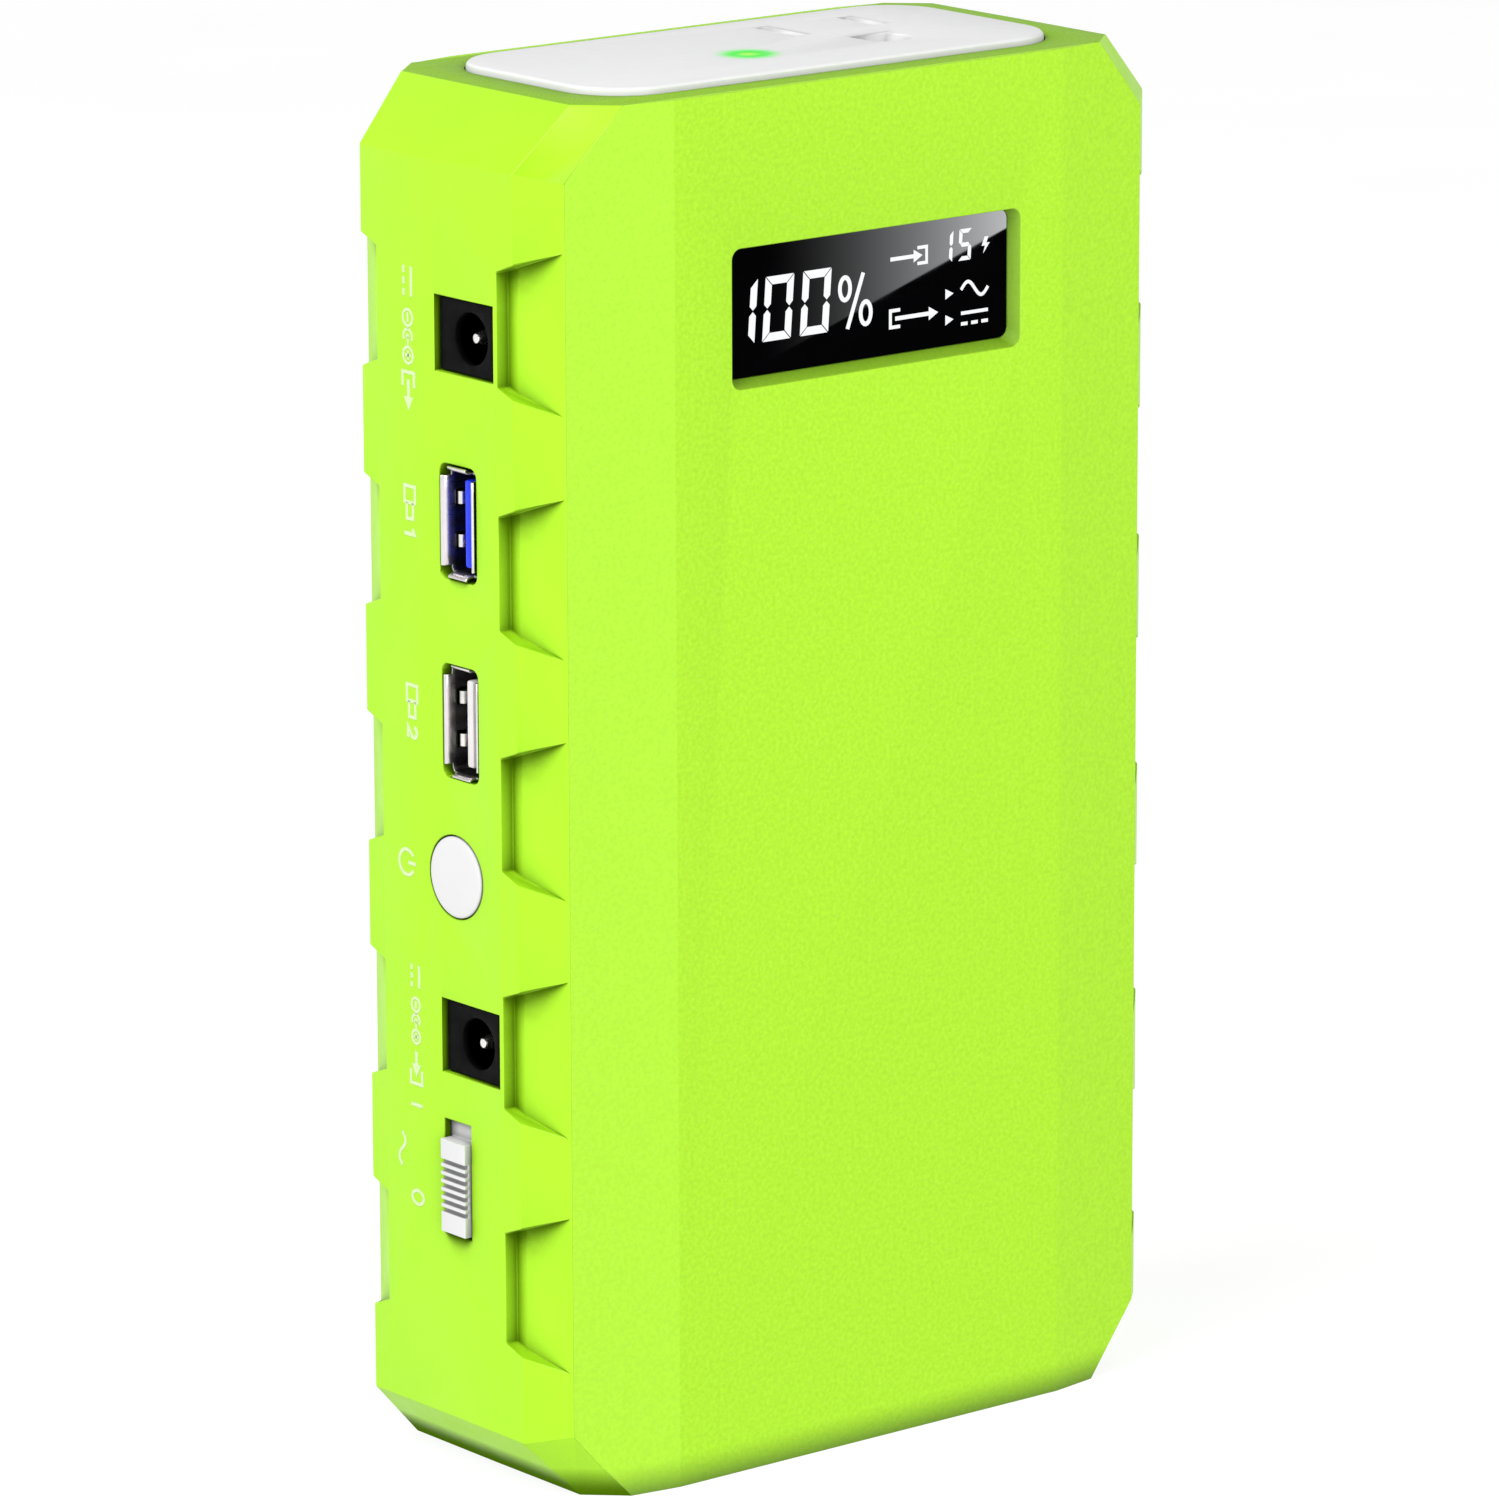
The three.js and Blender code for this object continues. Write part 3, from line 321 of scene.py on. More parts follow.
def white_plastic(name, white, shade=0.35, glow_at=None):
    """White moulded plastic with painted shade in its corners, down to white times shade, and a painted
    highlight along its edges. glow_at is a lamp that shines through; the green glow round it on the
    surface is painted light.
    """
    s = Shader(name)
    tint = s.mix(s.noise(6 * MM), (white - 0.01, white - 0.01, white - 0.008), (white + 0.01,) * 3)
    # Painted shade in the corners.
    tint = s.mix(s.cavity(1.5 * MM), (white * shade,) * 3, tint)
    s.set(
        # A painted highlight along the edges.
        Base_Color=s.mix(s.times(s.edges(0.3 * MM), 0.35), tint, (white + 0.12,) * 3),
        Roughness=s.spread(s.noise(1.8 * MM, 3), 0.34, 0.44),
        Specular_IOR_Level=0.35,
        Normal=s.bump(s.noise(0.25 * MM, 2), 0.006 * MM, 0.6),
    )
    if glow_at:
        away = s.add("ShaderNodeVectorMath", {0: s.place, 1: glow_at}, operation="DISTANCE")
        distance = away.outputs["Value"]
        # The lamp shines through the window within about 1.6 mm; the soft green halo out to 5 mm, in the
        # colour and the emission, is a painted glow on the panel.
        core = s.spread(distance, 1, 0, 0.2 * MM, 1.6 * MM)
        soft = s.add("ShaderNodeMapRange", {
            "Value": distance, "From Min": 1.6 * MM, "From Max": 5.0 * MM, "To Min": 1, "To Max": 0,
        }, interpolation_type="SMOOTHERSTEP").outputs["Result"]
        s.set(
            Base_Color=s.mix(soft, tint, (0.002, 0.20, 0.002)),
            Emission_Color=s.mix(core, (0.0, 0.66, 0.0), (0.36, 0.74, 0.0)),
            Emission_Strength=s.times(soft, 0.9),
        )
    return s.material


def socket_sheet(mouth):
    """Plated sheet of a socket, bright at its mouth (an x) and dark where no light reaches in."""
    s = Shader("socket_sheet")
    lines = s.noise(0.15 * MM, 3, (0.15, 1, 1))
    lit = s.spread(s.axis(s.place, "X"), 1, 0, mouth + 0.5 * MM, mouth + 1.6 * MM)
    plating = s.mix(s.noise(1.2 * MM, 3), (0.72, 0.68, 0.68), (0.84, 0.80, 0.80))
    return s.set(
        Base_Color=s.mix(lit, (0.13, 0.13, 0.14), plating),
        Metallic=1.0,
        Roughness=s.spread(lines, 0.26, 0.36),
        Normal=s.bump(lines, 0.002 * MM, 0.4),
    )


def jack_plastic(mouth):
    """Jet black plastic. Down its bore, behind the face at x = mouth, colour and sheen go to pure black
    as painted shade.
    """
    s = Shader("jack_black")
    # face: 1 at the face, 0 down the bore, which is painted black as shade.
    face = s.spread(s.axis(s.place, "X"), 1, 0, mouth + 0.2 * MM, mouth + 1.0 * MM)
    tone = s.mix(s.spread(s.noise(2 * MM, 3), 0, 1), (0.0012, 0.0012, 0.0014), (0.0034, 0.0034, 0.004))
    return s.set(
        Base_Color=s.mix(face, (0, 0, 0), tone),
        Specular_IOR_Level=s.times(face, 0.05),
        Roughness=s.spread(s.noise(1.2 * MM, 3), 0.45, 0.6),
        Normal=s.bump(s.noise(0.2 * MM, 2), 0.01 * MM, 0.6),
    )


def hard_plastic(name, colour, lighter, roughness=0.45):
    """Plain moulded plastic, lighter in random patches, with a painted highlight along its edges."""
    s = Shader(name)
    # Random lighter patches, and a painted highlight along the edges.
    lighter_and_edge_highlight = s.math("MAXIMUM", s.spread(s.noise(3 * MM, 3), 0, 0.3), s.edges(0.15 * MM))
    return s.set(
        Base_Color=s.mix(lighter_and_edge_highlight, colour, lighter),
        Specular_IOR_Level=0.3,
        Roughness=s.spread(s.noise(1.2 * MM, 3), roughness - 0.06, roughness + 0.08),
        Normal=s.bump(s.noise(0.2 * MM, 2), 0.01 * MM, 0.6),
    )


def metal(name, colour, roughness, stretch):
    """Rolled or plated metal with fine lines along its length and duller patches."""
    s = Shader(name)
    dull = tuple(0.82 * v for v in colour)
    lines = s.noise(0.12 * MM, 3, stretch)
    return s.set(
        Base_Color=s.mix(s.spread(s.noise(1.5 * MM, 4), 0, 1), dull, colour),
        Metallic=1.0,
        Roughness=s.spread(lines, roughness, roughness + 0.14),
        Normal=s.bump(lines, 0.004 * MM, 0.5),
    )


def black_glass():
    """Smoked cover glass: jet black behind a polished face with faint smears."""
    s = Shader("black_glass")
    smear = s.noise(7 * MM, 4, (1, 1, 2.5))
    return s.set(
        Base_Color=s.mix(smear, (0.0006, 0.0006, 0.0008), (0.0016, 0.0016, 0.002)),
        Roughness=s.spread(smear, 0.006, 0.016),
        Normal=s.bump(s.noise(12 * MM), 0.0005 * MM, 0.2),
    )


def lit_white():
    """Lit segments behind the glass, a little uneven across each one."""
    s = Shader("lit_white")
    glow = s.mix(s.noise(1.5 * MM), (0.93, 0.95, 0.97), (1.0, 1.0, 1.0))
    return s.set(
        Base_Color=(0.02, 0.02, 0.02),
        Roughness=s.spread(s.noise(1.0 * MM), 0.3, 0.4),
        Specular_IOR_Level=0.1,
        Emission_Color=glow,
        Emission_Strength=0.98,
    )


def printed_white():
    """Pad-printed ink: thin, slightly mottled and a touch see-through over the green."""
    s = Shader("printed_white")
    mottle = s.spread(s.noise(0.35 * MM, 4), 0, 1, 0.3, 0.7)
    return s.set(
        Base_Color=s.mix(mottle, (0.50, 0.65, 0.29), (0.60, 0.71, 0.43)),
        Roughness=s.spread(mottle, 0.5, 0.65),
        Specular_IOR_Level=0.3,
        Normal=s.bump(mottle, 0.006 * MM, 0.5),
    )


def rubber():
    s = Shader("rubber")
    dust = s.spread(s.noise(2.2 * MM, 5), 0, 0.4, 0.45, 0.75)
    # Paler with dust, and along the edges with a painted highlight.
    pale = s.math("MAXIMUM", dust, s.times(s.edges(0.3 * MM), 0.5))
    return s.set(
        Base_Color=s.mix(pale, (0.013, 0.0135, 0.014), (0.045, 0.046, 0.046)),
        Roughness=s.spread(s.noise(0.9 * MM, 3), 0.62, 0.8),
        Specular_IOR_Level=0.35,
        Normal=s.bump(s.noise(0.22 * MM, 3), 0.03 * MM, 0.7),
    )


def circuit_board():
    """Solder mask over copper tracks, which show as paler raised lines."""
    s = Shader("circuit_board")
    grid = {"Vector": s.place, "Scale": 1 / (14 * MM), "Mortar Size": 0.03}
    line = s.add("ShaderNodeTexBrick", grid).outputs["Fac"]
    mask = s.mix(s.noise(4 * MM), (0.008, 0.10, 0.03), (0.012, 0.14, 0.045))
    return s.set(
        Base_Color=s.mix(line, mask, (0.03, 0.27, 0.09)),
        Roughness=s.spread(s.noise(1.5 * MM), 0.28, 0.42),
        Normal=s.bump(line, 0.03 * MM, 0.8),
    )


def pouch_foil():
    """Crinkled silver laminate round a battery cell."""
    s = Shader("pouch_foil")
    crinkle = s.noise(3.5 * MM, 5)
    return s.set(
        Base_Color=s.mix(crinkle, (0.50, 0.52, 0.54), (0.66, 0.68, 0.70)),
        Metallic=0.85,
        Roughness=s.spread(s.noise(1 * MM, 3), 0.26, 0.44),
        Normal=s.bump(crinkle, 0.25 * MM, 0.6),
    )


def foam():
    s = Shader("foam")
    cell = s.cells(0.6 * MM)
    return s.set(
        Base_Color=s.mix(cell, (0.012, 0.012, 0.013), (0.05, 0.05, 0.052)),
        Roughness=s.spread(cell, 0.85, 1.0),
        Normal=s.bump(cell, 0.3 * MM, 0.9),
    )


def clear_lens():
    """Clear moulded lens with a faintly wavy surface."""
    s = Shader("clear_lens")
    colour = (0.93, 0.96, 0.97)
    return s.set(
        Base_Color=s.mix(s.noise(2 * MM), colour, tuple(min(1.0, v * 1.08) for v in colour)),
        Roughness=s.spread(s.noise(1.5 * MM, 3), 0.03, 0.09),
        Transmission_Weight=0.9,
        IOR=1.49,
        Normal=s.bump(s.noise(1.6 * MM), 0.01 * MM, 0.4),
    )


def phosphor():
    """Yellow phosphor of a white light-emitting diode."""
    s = Shader("phosphor")
    return s.set(
        Base_Color=s.mix(s.noise(0.5 * MM, 3), (0.80, 0.66, 0.12), (0.90, 0.80, 0.26)),
        Roughness=s.spread(s.noise(0.4 * MM), 0.3, 0.5),
        Normal=s.bump(s.noise(0.2 * MM), 0.02 * MM, 0.6),
    )


# ---- Mesh building ----

def circle(radius, count=64):
    """Points round a circle that pair up with rounded_rectangle's."""
    angles = [2 * math.pi / count * (i + 0.5) for i in range(count)]
    return [(radius * math.cos(angle), radius * math.sin(angle)) for angle in angles]


def rounded_rectangle(width, height, radius, count=64):
    points = []
    per_corner = count // 4
    for corner in range(4):
        cx = (width / 2 - radius) * (1 if corner in (0, 3) else -1)
        cy = (height / 2 - radius) * (1 if corner in (0, 1) else -1)
        for i in range(per_corner):
            angle = math.pi / 2 * (corner + i / (per_corner - 1))
            points.append((cx + radius * math.cos(angle), cy + radius * math.sin(angle)))
    return points


def arc(cx, cy, rx, ry, start, end, count=24):
    """Points along an ellipse from start to end, in degrees."""
    angles = [math.radians(start + (end - start) * i / count) for i in range(count + 1)]
    return [(cx + rx * math.cos(a), cy + ry * math.sin(a)) for a in angles]


def loft(loops, place, closed=False, mesh=None):
    """Skins from loop to loop, then caps the ends or, if closed, joins them to each other.

    A loop is (outline, level), and place puts it in space. The skin is added to mesh, if given.
    """
    mesh = mesh or bmesh.new()
    rows = [[mesh.verts.new(place(u, v, level)) for u, v in outline] for outline, level in loops]
    for row, following in zip(rows, rows[1:] + rows[:1] if closed else rows[1:]):
        for i in range(len(row)):
            j = (i + 1) % len(row)
            mesh.faces.new((row[i], row[j], following[j], following[i]))
    if not closed:
        mesh.faces.new(list(reversed(rows[0])))
        mesh.faces.new(rows[-1])
    return mesh


def turned(profile, place, sides=64, closed=False):
    """Skins a shape turned on a lathe. The profile's points are (radius, level)."""
    return loft([(circle(radius, sides), level) for radius, level in profile], place, closed)


def along_x(y, z):
    """Outlines lie in the Y, Z plane round (y, z), and levels run along X."""
    return lambda u, v, level: Vector((level, y + u, z + v))


def new_piece(mesh, name, material, body, stands_for=(), smooth_angle=30):
    """Makes a piece from a bmesh, shades it, hangs it on the body it rides on, and hides the CAD parts
    it stands for.
    """
    bmesh.ops.recalc_face_normals(mesh, faces=mesh.faces)
    for face in mesh.faces:
        face.smooth = True
    for edge in mesh.edges:
        if len(edge.link_faces) == 2 and edge.calc_face_angle(0) > math.radians(smooth_angle):
            edge.smooth = False
    made = mesh_object(name, mesh, material)
    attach(made, body)
    if stands_for:
        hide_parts(*stands_for)
    return made


SHARP_ANGLE = 24
CREASE_ANGLE = 0.8
CREASE_LENGTH = 3.2 * MM
FLAT_ANGLE = 0.3
FAR = 1.0


class EdgeRules(Nodes):
    """A node group that picks edges by angle, length and place, for the modifiers that follow it."""

    def __init__(self, name):
        super().__init__(bpy.data.node_groups.new(name, "GeometryNodeTree"))
        for way in ("INPUT", "OUTPUT"):
            self.tree.interface.new_socket("Geometry", in_out=way, socket_type="NodeSocketGeometry")
        self.shape = self.add("NodeGroupInput").outputs[0]

    def all(self, tests):
        total = tests[0]
        for test in tests[1:]:
            total = self.times(total, test)
        return total

    def within(self, position, box):
        """The tests for a position to lie between two corners."""
        tests = []
        for index, (low, high) in enumerate(zip(*box)):
            tests.append(self.math("GREATER_THAN", position.outputs[index], low))
            tests.append(self.math("LESS_THAN", position.outputs[index], high))
        return tests

    def finish(self):
        self.tree.links.new(self.shape, self.add("NodeGroupOutput").inputs[0])
        return self.tree


def edge_rules(name, keep_box, bare_box, crease_length):
    """Sharp edges in keep_box, but not in bare_box, get a bevel weight. The others stay crisp."""
    rules = EdgeRules(name)
    angle = rules.add("GeometryNodeInputMeshEdgeAngle").outputs["Unsigned Angle"]
    ends = rules.add("GeometryNodeInputMeshEdgeVertices")
    length = rules.add("ShaderNodeVectorMath", {
        0: ends.outputs["Position 1"], 1: ends.outputs["Position 2"],
    }, operation="DISTANCE").outputs["Value"]
    position = rules.add("ShaderNodeSeparateXYZ", {0: rules.add("GeometryNodeInputPosition").outputs[0]})
    sharp = rules.math("GREATER_THAN", angle, math.radians(SHARP_ANGLE))
    rounded = rules.all([sharp, *rules.within(position, keep_box)])
    if bare_box:
        bare = rules.all(rules.within(position, bare_box))
        rounded = rules.times(rounded, rules.math("SUBTRACT", 1, bare))
    crease = rules.all([
        rules.math("GREATER_THAN", angle, math.radians(CREASE_ANGLE)),
        rules.math("GREATER_THAN", length, crease_length),
    ])
    crisp = rules.math("SUBTRACT", rules.math("MAXIMUM", sharp, crease), rounded)
    smooth = rules.math("LESS_THAN", crisp, 0.5)
    rules.shape = rules.add("GeometryNodeSetShadeSmooth", {"Geometry": rules.shape}).outputs[0]
    rules.shape = rules.add("GeometryNodeSetShadeSmooth", {
        "Geometry": rules.shape, "Shade Smooth": smooth,
    }, domain="EDGE").outputs[0]
    rules.shape = rules.add("GeometryNodeStoreNamedAttribute", {
        "Geometry": rules.shape, "Name": "bevel_weight_edge", "Value": rounded,
    }, data_type="FLOAT", domain="EDGE").outputs[0]
    return rules.finish()


def modify(made, kind, **settings):
    set_all(made.modifiers.new(kind.lower(), kind), settings)


def soften(node, width, keep_box=None, bare_box=None, crease_length=CREASE_LENGTH):
    """Rounds the sharp edges of a CAD node with modifiers. Its own mesh stays as it is."""
    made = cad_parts[node]
    everywhere = ((-FAR,) * 3, (FAR,) * 3)
    rules = edge_rules(node + "_edges", keep_box or everywhere, bare_box, crease_length)
    modify(made, "WELD", merge_threshold=0.002 * MM)
    modify(made, "DECIMATE", decimate_type="DISSOLVE", angle_limit=math.radians(FLAT_ANGLE))
    modify(made, "NODES", node_group=rules)
    modify(
        made, "BEVEL", limit_method="WEIGHT", width=width, segments=3, harden_normals=True,
        use_clamp_overlap=False, miter_outer="MITER_SHARP",
    )


def paint(material, *nodes):
    for node in nodes:
        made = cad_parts[node]
        if not made.material_slots:
            made.data.materials.append(material)
        for slot in made.material_slots:
            slot.material = material


# ---- Casing ----

SEAM_Y = 18.9 * MM
EDGE_ROUND = 0.16 * MM


def finish_casing():
    low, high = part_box("display_glass")
    margin = 1.5 * MM
    border = Vector((margin, margin, margin))
    smooth, grain = green_smooth(), green_grain((low - border, high + border))
    paint(smooth, "side_frame")
    paint(grain, "front_cover", "rear_cover")
    between_seams = ((-FAR, -SEAM_Y, -FAR), (FAR, SEAM_Y, FAR))
    wall_inside = ((-47.6 * MM, -11 * MM, 3 * MM), (47.6 * MM, 11 * MM, 150 * MM))
    soften("side_frame", EDGE_ROUND, between_seams, wall_inside)
    window = (
        (low.x - margin, -FAR, low.z - margin),
        (high.x + margin, low.y, high.z + margin),
    )
    soften("front_cover", EDGE_ROUND, window)
    screw_heads = ((-FAR, 19 * MM, -FAR), (FAR, FAR, FAR))
    soften("rear_cover", EDGE_ROUND, screw_heads)


# ---- Outlet panel ----

def finish_outlet(lamp_axis):
    panel = white_plastic("white_panel", 0.715, 0.72, lamp_axis)
    paint(panel, "outlet_panel")
    slots = ((6 * MM, -11 * MM, 168 * MM), (25 * MM, 12 * MM, FAR))
    soften("outlet_panel", 0.26 * MM, slots, crease_length=FAR)
    low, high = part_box("status_light_lens")
    x, y, panel_top = lamp_axis
    stem = 1.695 * MM
    foot = (high.x - low.x) / 2
    foot_top = low.z + 1.6 * MM
    profile = [(foot, low.z), (foot, foot_top), (stem, foot_top), (stem, panel_top - 0.02 * MM)]
    mesh = turned(profile, lambda u, v, level: Vector((x + u, y + v, level)))
    new_piece(mesh, "status_light_window", panel, CASING, ["status_light_lens"])


# ---- Display ----

def stroke(points, width, closed=False):
    """A band of quads of even width along a line of 2-D points, with mitred corners."""
    count = len(points)
    left, right = [], []
    for i, point in enumerate(points):
        here = Vector(point)
        before = Vector(points[i - 1]) if i > 0 or closed else None
        after = Vector(points[(i + 1) % count]) if i < count - 1 or closed else None
        inward = (here - before).normalized() if before is not None else (after - here).normalized()
        outward = (after - here).normalized() if after is not None else inward
        bisector = (inward + outward).normalized()
        normal = Vector((-bisector.y, bisector.x))
        reach = width / 2 / max(0.4, bisector.dot(inward))
        left.append(tuple(here + normal * reach))
        right.append(tuple(here - normal * reach))
    last = count if closed else count - 1
    return [
        (left[i], left[(i + 1) % count], right[(i + 1) % count], right[i]) for i in range(last)
    ]


def ring(cx, cy, rx, ry, line):
    return stroke(arc(cx, cy, rx, ry, 0, 345, 23), line, closed=True)


def moved(shapes, du, dv):
    return [tuple((u + du, v + dv) for u, v in shape) for shape in shapes]


SEGMENTS = {"0": "abcdef", "1": "bc", "5": "acdfg"}


def seven_segment(digit, width, height, bar, gap, lean):
    """One slanted seven-segment digit with mitred bars, its lower left corner at (0, 0)."""
    half, mid, tip = bar / 2, height / 2, bar * 0.5
    top = [(gap, height), (width - gap, height), (width - gap - bar, height - bar),
           (gap + bar, height - bar)]
    bottom = [(u, height - v) for u, v in reversed(top)]
    middle = [(gap + tip, mid), (bar, mid + half), (width - bar, mid + half), (width - gap - tip, mid),
              (width - bar, mid - half), (bar, mid - half)]
    upper_left = [(0, height - gap), (bar, height - bar - gap), (bar, mid + half + gap),
                  (half, mid + gap), (0, mid + half + gap)]
    upper_right = [(width - u, v) for u, v in reversed(upper_left)]
    lower_left = [(u, height - v) for u, v in reversed(upper_left)]
    lower_right = [(width - u, v) for u, v in reversed(lower_left)]
    bars = {"a": top, "b": upper_right, "c": lower_right, "d": bottom, "e": lower_left,
            "f": upper_left, "g": middle}
    return [tuple((u + lean * v, v) for u, v in bars[key]) for key in SEGMENTS[digit]]


def arrow(length, height, stem):
    """A solid arrow that points along +u, from (0, 0) to (length, 0)."""
    head = height * 0.9
    return [((0, -stem / 2), (length - head, -stem / 2), (length - head, -height / 2), (length, 0),
             (length - head, height / 2), (length - head, stem / 2), (0, stem / 2))]


def percent_sign(width, height, line):
    rx, ry = width * 0.2, height * 0.25
    upper = ring(rx, height - ry, rx - line / 2, ry - line / 2, line)
    lower = ring(width - rx, ry, rx - line / 2, ry - line / 2, line)
    return upper + lower + stroke([(width * 0.27, 0), (width * 0.73, height)], line)


def bolt(height):
    zigzag = ((0.32, 1), (0.62, 1), (0.46, 0.62), (0.72, 0.62), (0.22, 0), (0.36, 0.46), (0.1, 0.46))
    return [tuple((u * height, v * height) for u, v in zigzag)]


def wave(width, height, line):
    """One period of alternating current."""
    points = [(width * t / 24, height / 2 * math.sin(2 * math.pi * t / 24)) for t in range(25)]
    return stroke(points, line)


def direct_current(width, height, line):
    """A full bar over three short dashes."""
    dash = width * 0.24
    shapes = stroke([(0, height / 2), (width, height / 2)], line)
    for i in range(3):
        start = i * (width - dash) / 2
        shapes += stroke([(start, -height / 2), (start + dash, -height / 2)], line)
    return shapes


def arrow_in(length, height, line):
    """An arrow that runs into an open box: input."""
    box_depth = height * 0.75
    shapes = arrow(length - box_depth * 0.45, height * 0.8, line * 1.2)
    corner = [(length - box_depth, height / 2), (length, height / 2), (length, -height / 2),
              (length - box_depth, -height / 2)]
    return shapes + stroke(corner, line)


def arrow_out(length, height, line):
    """An arrow that runs out of an open box: output."""
    box_depth = height * 0.75
    corner = [(box_depth, height / 2), (0, height / 2), (0, -height / 2), (box_depth, -height / 2)]
    return stroke(corner, line) + moved(arrow(length - box_depth * 0.5, height * 0.8, line * 1.2),
                                        box_depth * 0.5, 0)


def flat_mark(name, shapes, place, thickness, material, body=CASING):
    """Thin raised marks: each 2-D shape becomes a face that place puts on the object."""
    mesh = bmesh.new()
    for shape in shapes:
        mesh.faces.new([mesh.verts.new(place(u * MM, v * MM)) for u, v in shape])
    bmesh.ops.remove_doubles(mesh, verts=mesh.verts, dist=0.001 * MM)
    front = place(0, 0) - place(0, 0, -1)
    for face in mesh.faces:
        face.normal_update()
        if face.normal.dot(front) < 0:
            face.normal_flip()
    faces = bmesh.ops.extrude_face_region(mesh, geom=list(mesh.faces), use_keep_orig=True)
    raised = [item for item in faces["geom"] if isinstance(item, bmesh.types.BMVert)]
    bmesh.ops.translate(mesh, verts=raised, vec=front.normalized() * thickness)
    return new_piece(mesh, name, material, body)


def finish_display():
    paint(black_glass(), "display_glass")
    low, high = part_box("display_glass")
    lit = lit_white()
    face = low.y
    sink = 0.02 * MM
    raised = 0.05 * MM

    def on_glass(u, v, toward=0):
        return Vector((low.x + u, face + sink - toward * MM, low.z + v))

    # millimetres from the glass's lower left corner
    digit = {"width": 4.3, "height": 7.7, "bar": 0.98, "gap": 0.09, "lean": 0.075}
    base = 3.85
    charge = moved(seven_segment("1", **digit), -0.1, base)
    charge += moved(seven_segment("0", **digit), 5.4, base)
    charge += moved(seven_segment("0", **digit), 11.1, base)
    charge += moved(percent_sign(5.3, 6.5, 0.55), 16.95, base)
    flat_mark("display_charge_digits", charge, on_glass, raised, lit)
    small = {"width": 1.95, "height": 3.8, "bar": 0.5, "gap": 0.06, "lean": 0.06}
    volts = moved(seven_segment("1", **small), 32.6, 10.0)
    volts += moved(seven_segment("5", **small), 35.5, 10.0)
    volts += moved(bolt(2.0), 39.0, 10.5)
    flat_mark("display_input_digits", volts, on_glass, raised, lit)
    signs = moved(arrow_in(5.6, 1.9, 0.4), 25.0, 11.4)
    signs += moved(arrow_out(7.4, 2.0, 0.42), 25.0, 4.2)
    for height in (6.2, 3.05):
        signs += [((33.55, height - 0.62), (34.8, height), (33.55, height + 0.62))]
    signs += moved(wave(4.2, 1.8, 0.42), 36.0, 6.45)
    signs += moved(direct_current(4.2, 1.3, 0.42), 36.0, 2.95)
    flat_mark("display_flow_signs", signs, on_glass, raised, lit)


# ---- Socket side ----

def finish_jack(name, black, nickel):
    low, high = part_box(name + "_jack")
    pin_low, pin_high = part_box(name + "_pin")
    _, width, height = high - low
    _, middle_y, middle_z = (low + high) / 2
    pin_y = middle_of(name + "_pin").y
    shift = pin_y - middle_y
    bore = 3.1 * MM
    floor = low.x + 9.5 * MM
    edge = 0.18 * MM

    def hole(radius):
        return [(u + shift, v) for u, v in circle(radius)]

    def frame_outline(inset):
        return rounded_rectangle(width - 2 * inset, height - 2 * inset, 0.35 * MM)

    mesh = loft([
        (frame_outline(0), high.x),
        (frame_outline(0), low.x + edge),
        (frame_outline(edge * 0.3), low.x + edge * 0.3),
        (frame_outline(edge), low.x),
        (hole(bore + 0.28 * MM), low.x),
        (hole(bore + 0.06 * MM), low.x + 0.1 * MM),
        (hole(bore), low.x + 0.3 * MM),
        (hole(bore), floor),
    ], along_x(middle_y, middle_z))
    new_piece(mesh, name + "_jack_body", black, CASING, [name + "_jack"], 40)

    radius = (pin_high.y - pin_low.y) / 2
    nose = [(0.50, 0.0), (0.58, 0.03), (0.63, 0.10), (0.72, 0.45), (0.90, 1.1), (1.0, 1.5)]
    profile = [(radius * share, pin_low.x + depth * MM) for share, depth in nose]
    mesh = turned(profile + [(radius, pin_high.x)], along_x(pin_y, middle_z), 48)
    new_piece(mesh, name + "_centre_pin", nickel, CASING, [name + "_pin"])


USB_SHEET = 0.32 * MM
USB_CORNER = 0.6 * MM
USB_FLARE = 0.4 * MM
SPRING_FROM, SPRING_TO = 0.28, 0.62


def usb_perimeter(width, height):
    """Stations round the shell: (u, v, outward direction, kind, stop).

    The kind is long, short or corner. The stop runs from -1 to 1 along a wall.
    """
    stations = []
    corner = USB_CORNER
    long_stops = [-1, -0.94, -SPRING_TO, -SPRING_FROM, SPRING_FROM, SPRING_TO, 0.94, 1]
    short_stops = [-1, -0.8, 0, 0.8, 1]
    w, h = width / 2, height / 2

    def direction(angle):
        return Vector((math.cos(angle), math.sin(angle)))

    for side in range(4):
        turn = math.pi / 2 * side
        out, along = direction(turn), direction(turn + math.pi / 2)
        is_long = side % 2 == 0
        half = (h if is_long else w) - corner
        reach = w if is_long else h
        for stop in (long_stops if is_long else short_stops):
            spot = out * reach + along * half * stop
            stations.append((spot.x, spot.y, out, "long" if is_long else "short", stop))
        centre = out * (reach - corner) + along * half
        for i in range(1, 4):
            way = direction(turn + math.pi / 2 * i / 4)
            spot = centre + way * corner
            stations.append((spot.x, spot.y, way, "corner", 0))
    return stations


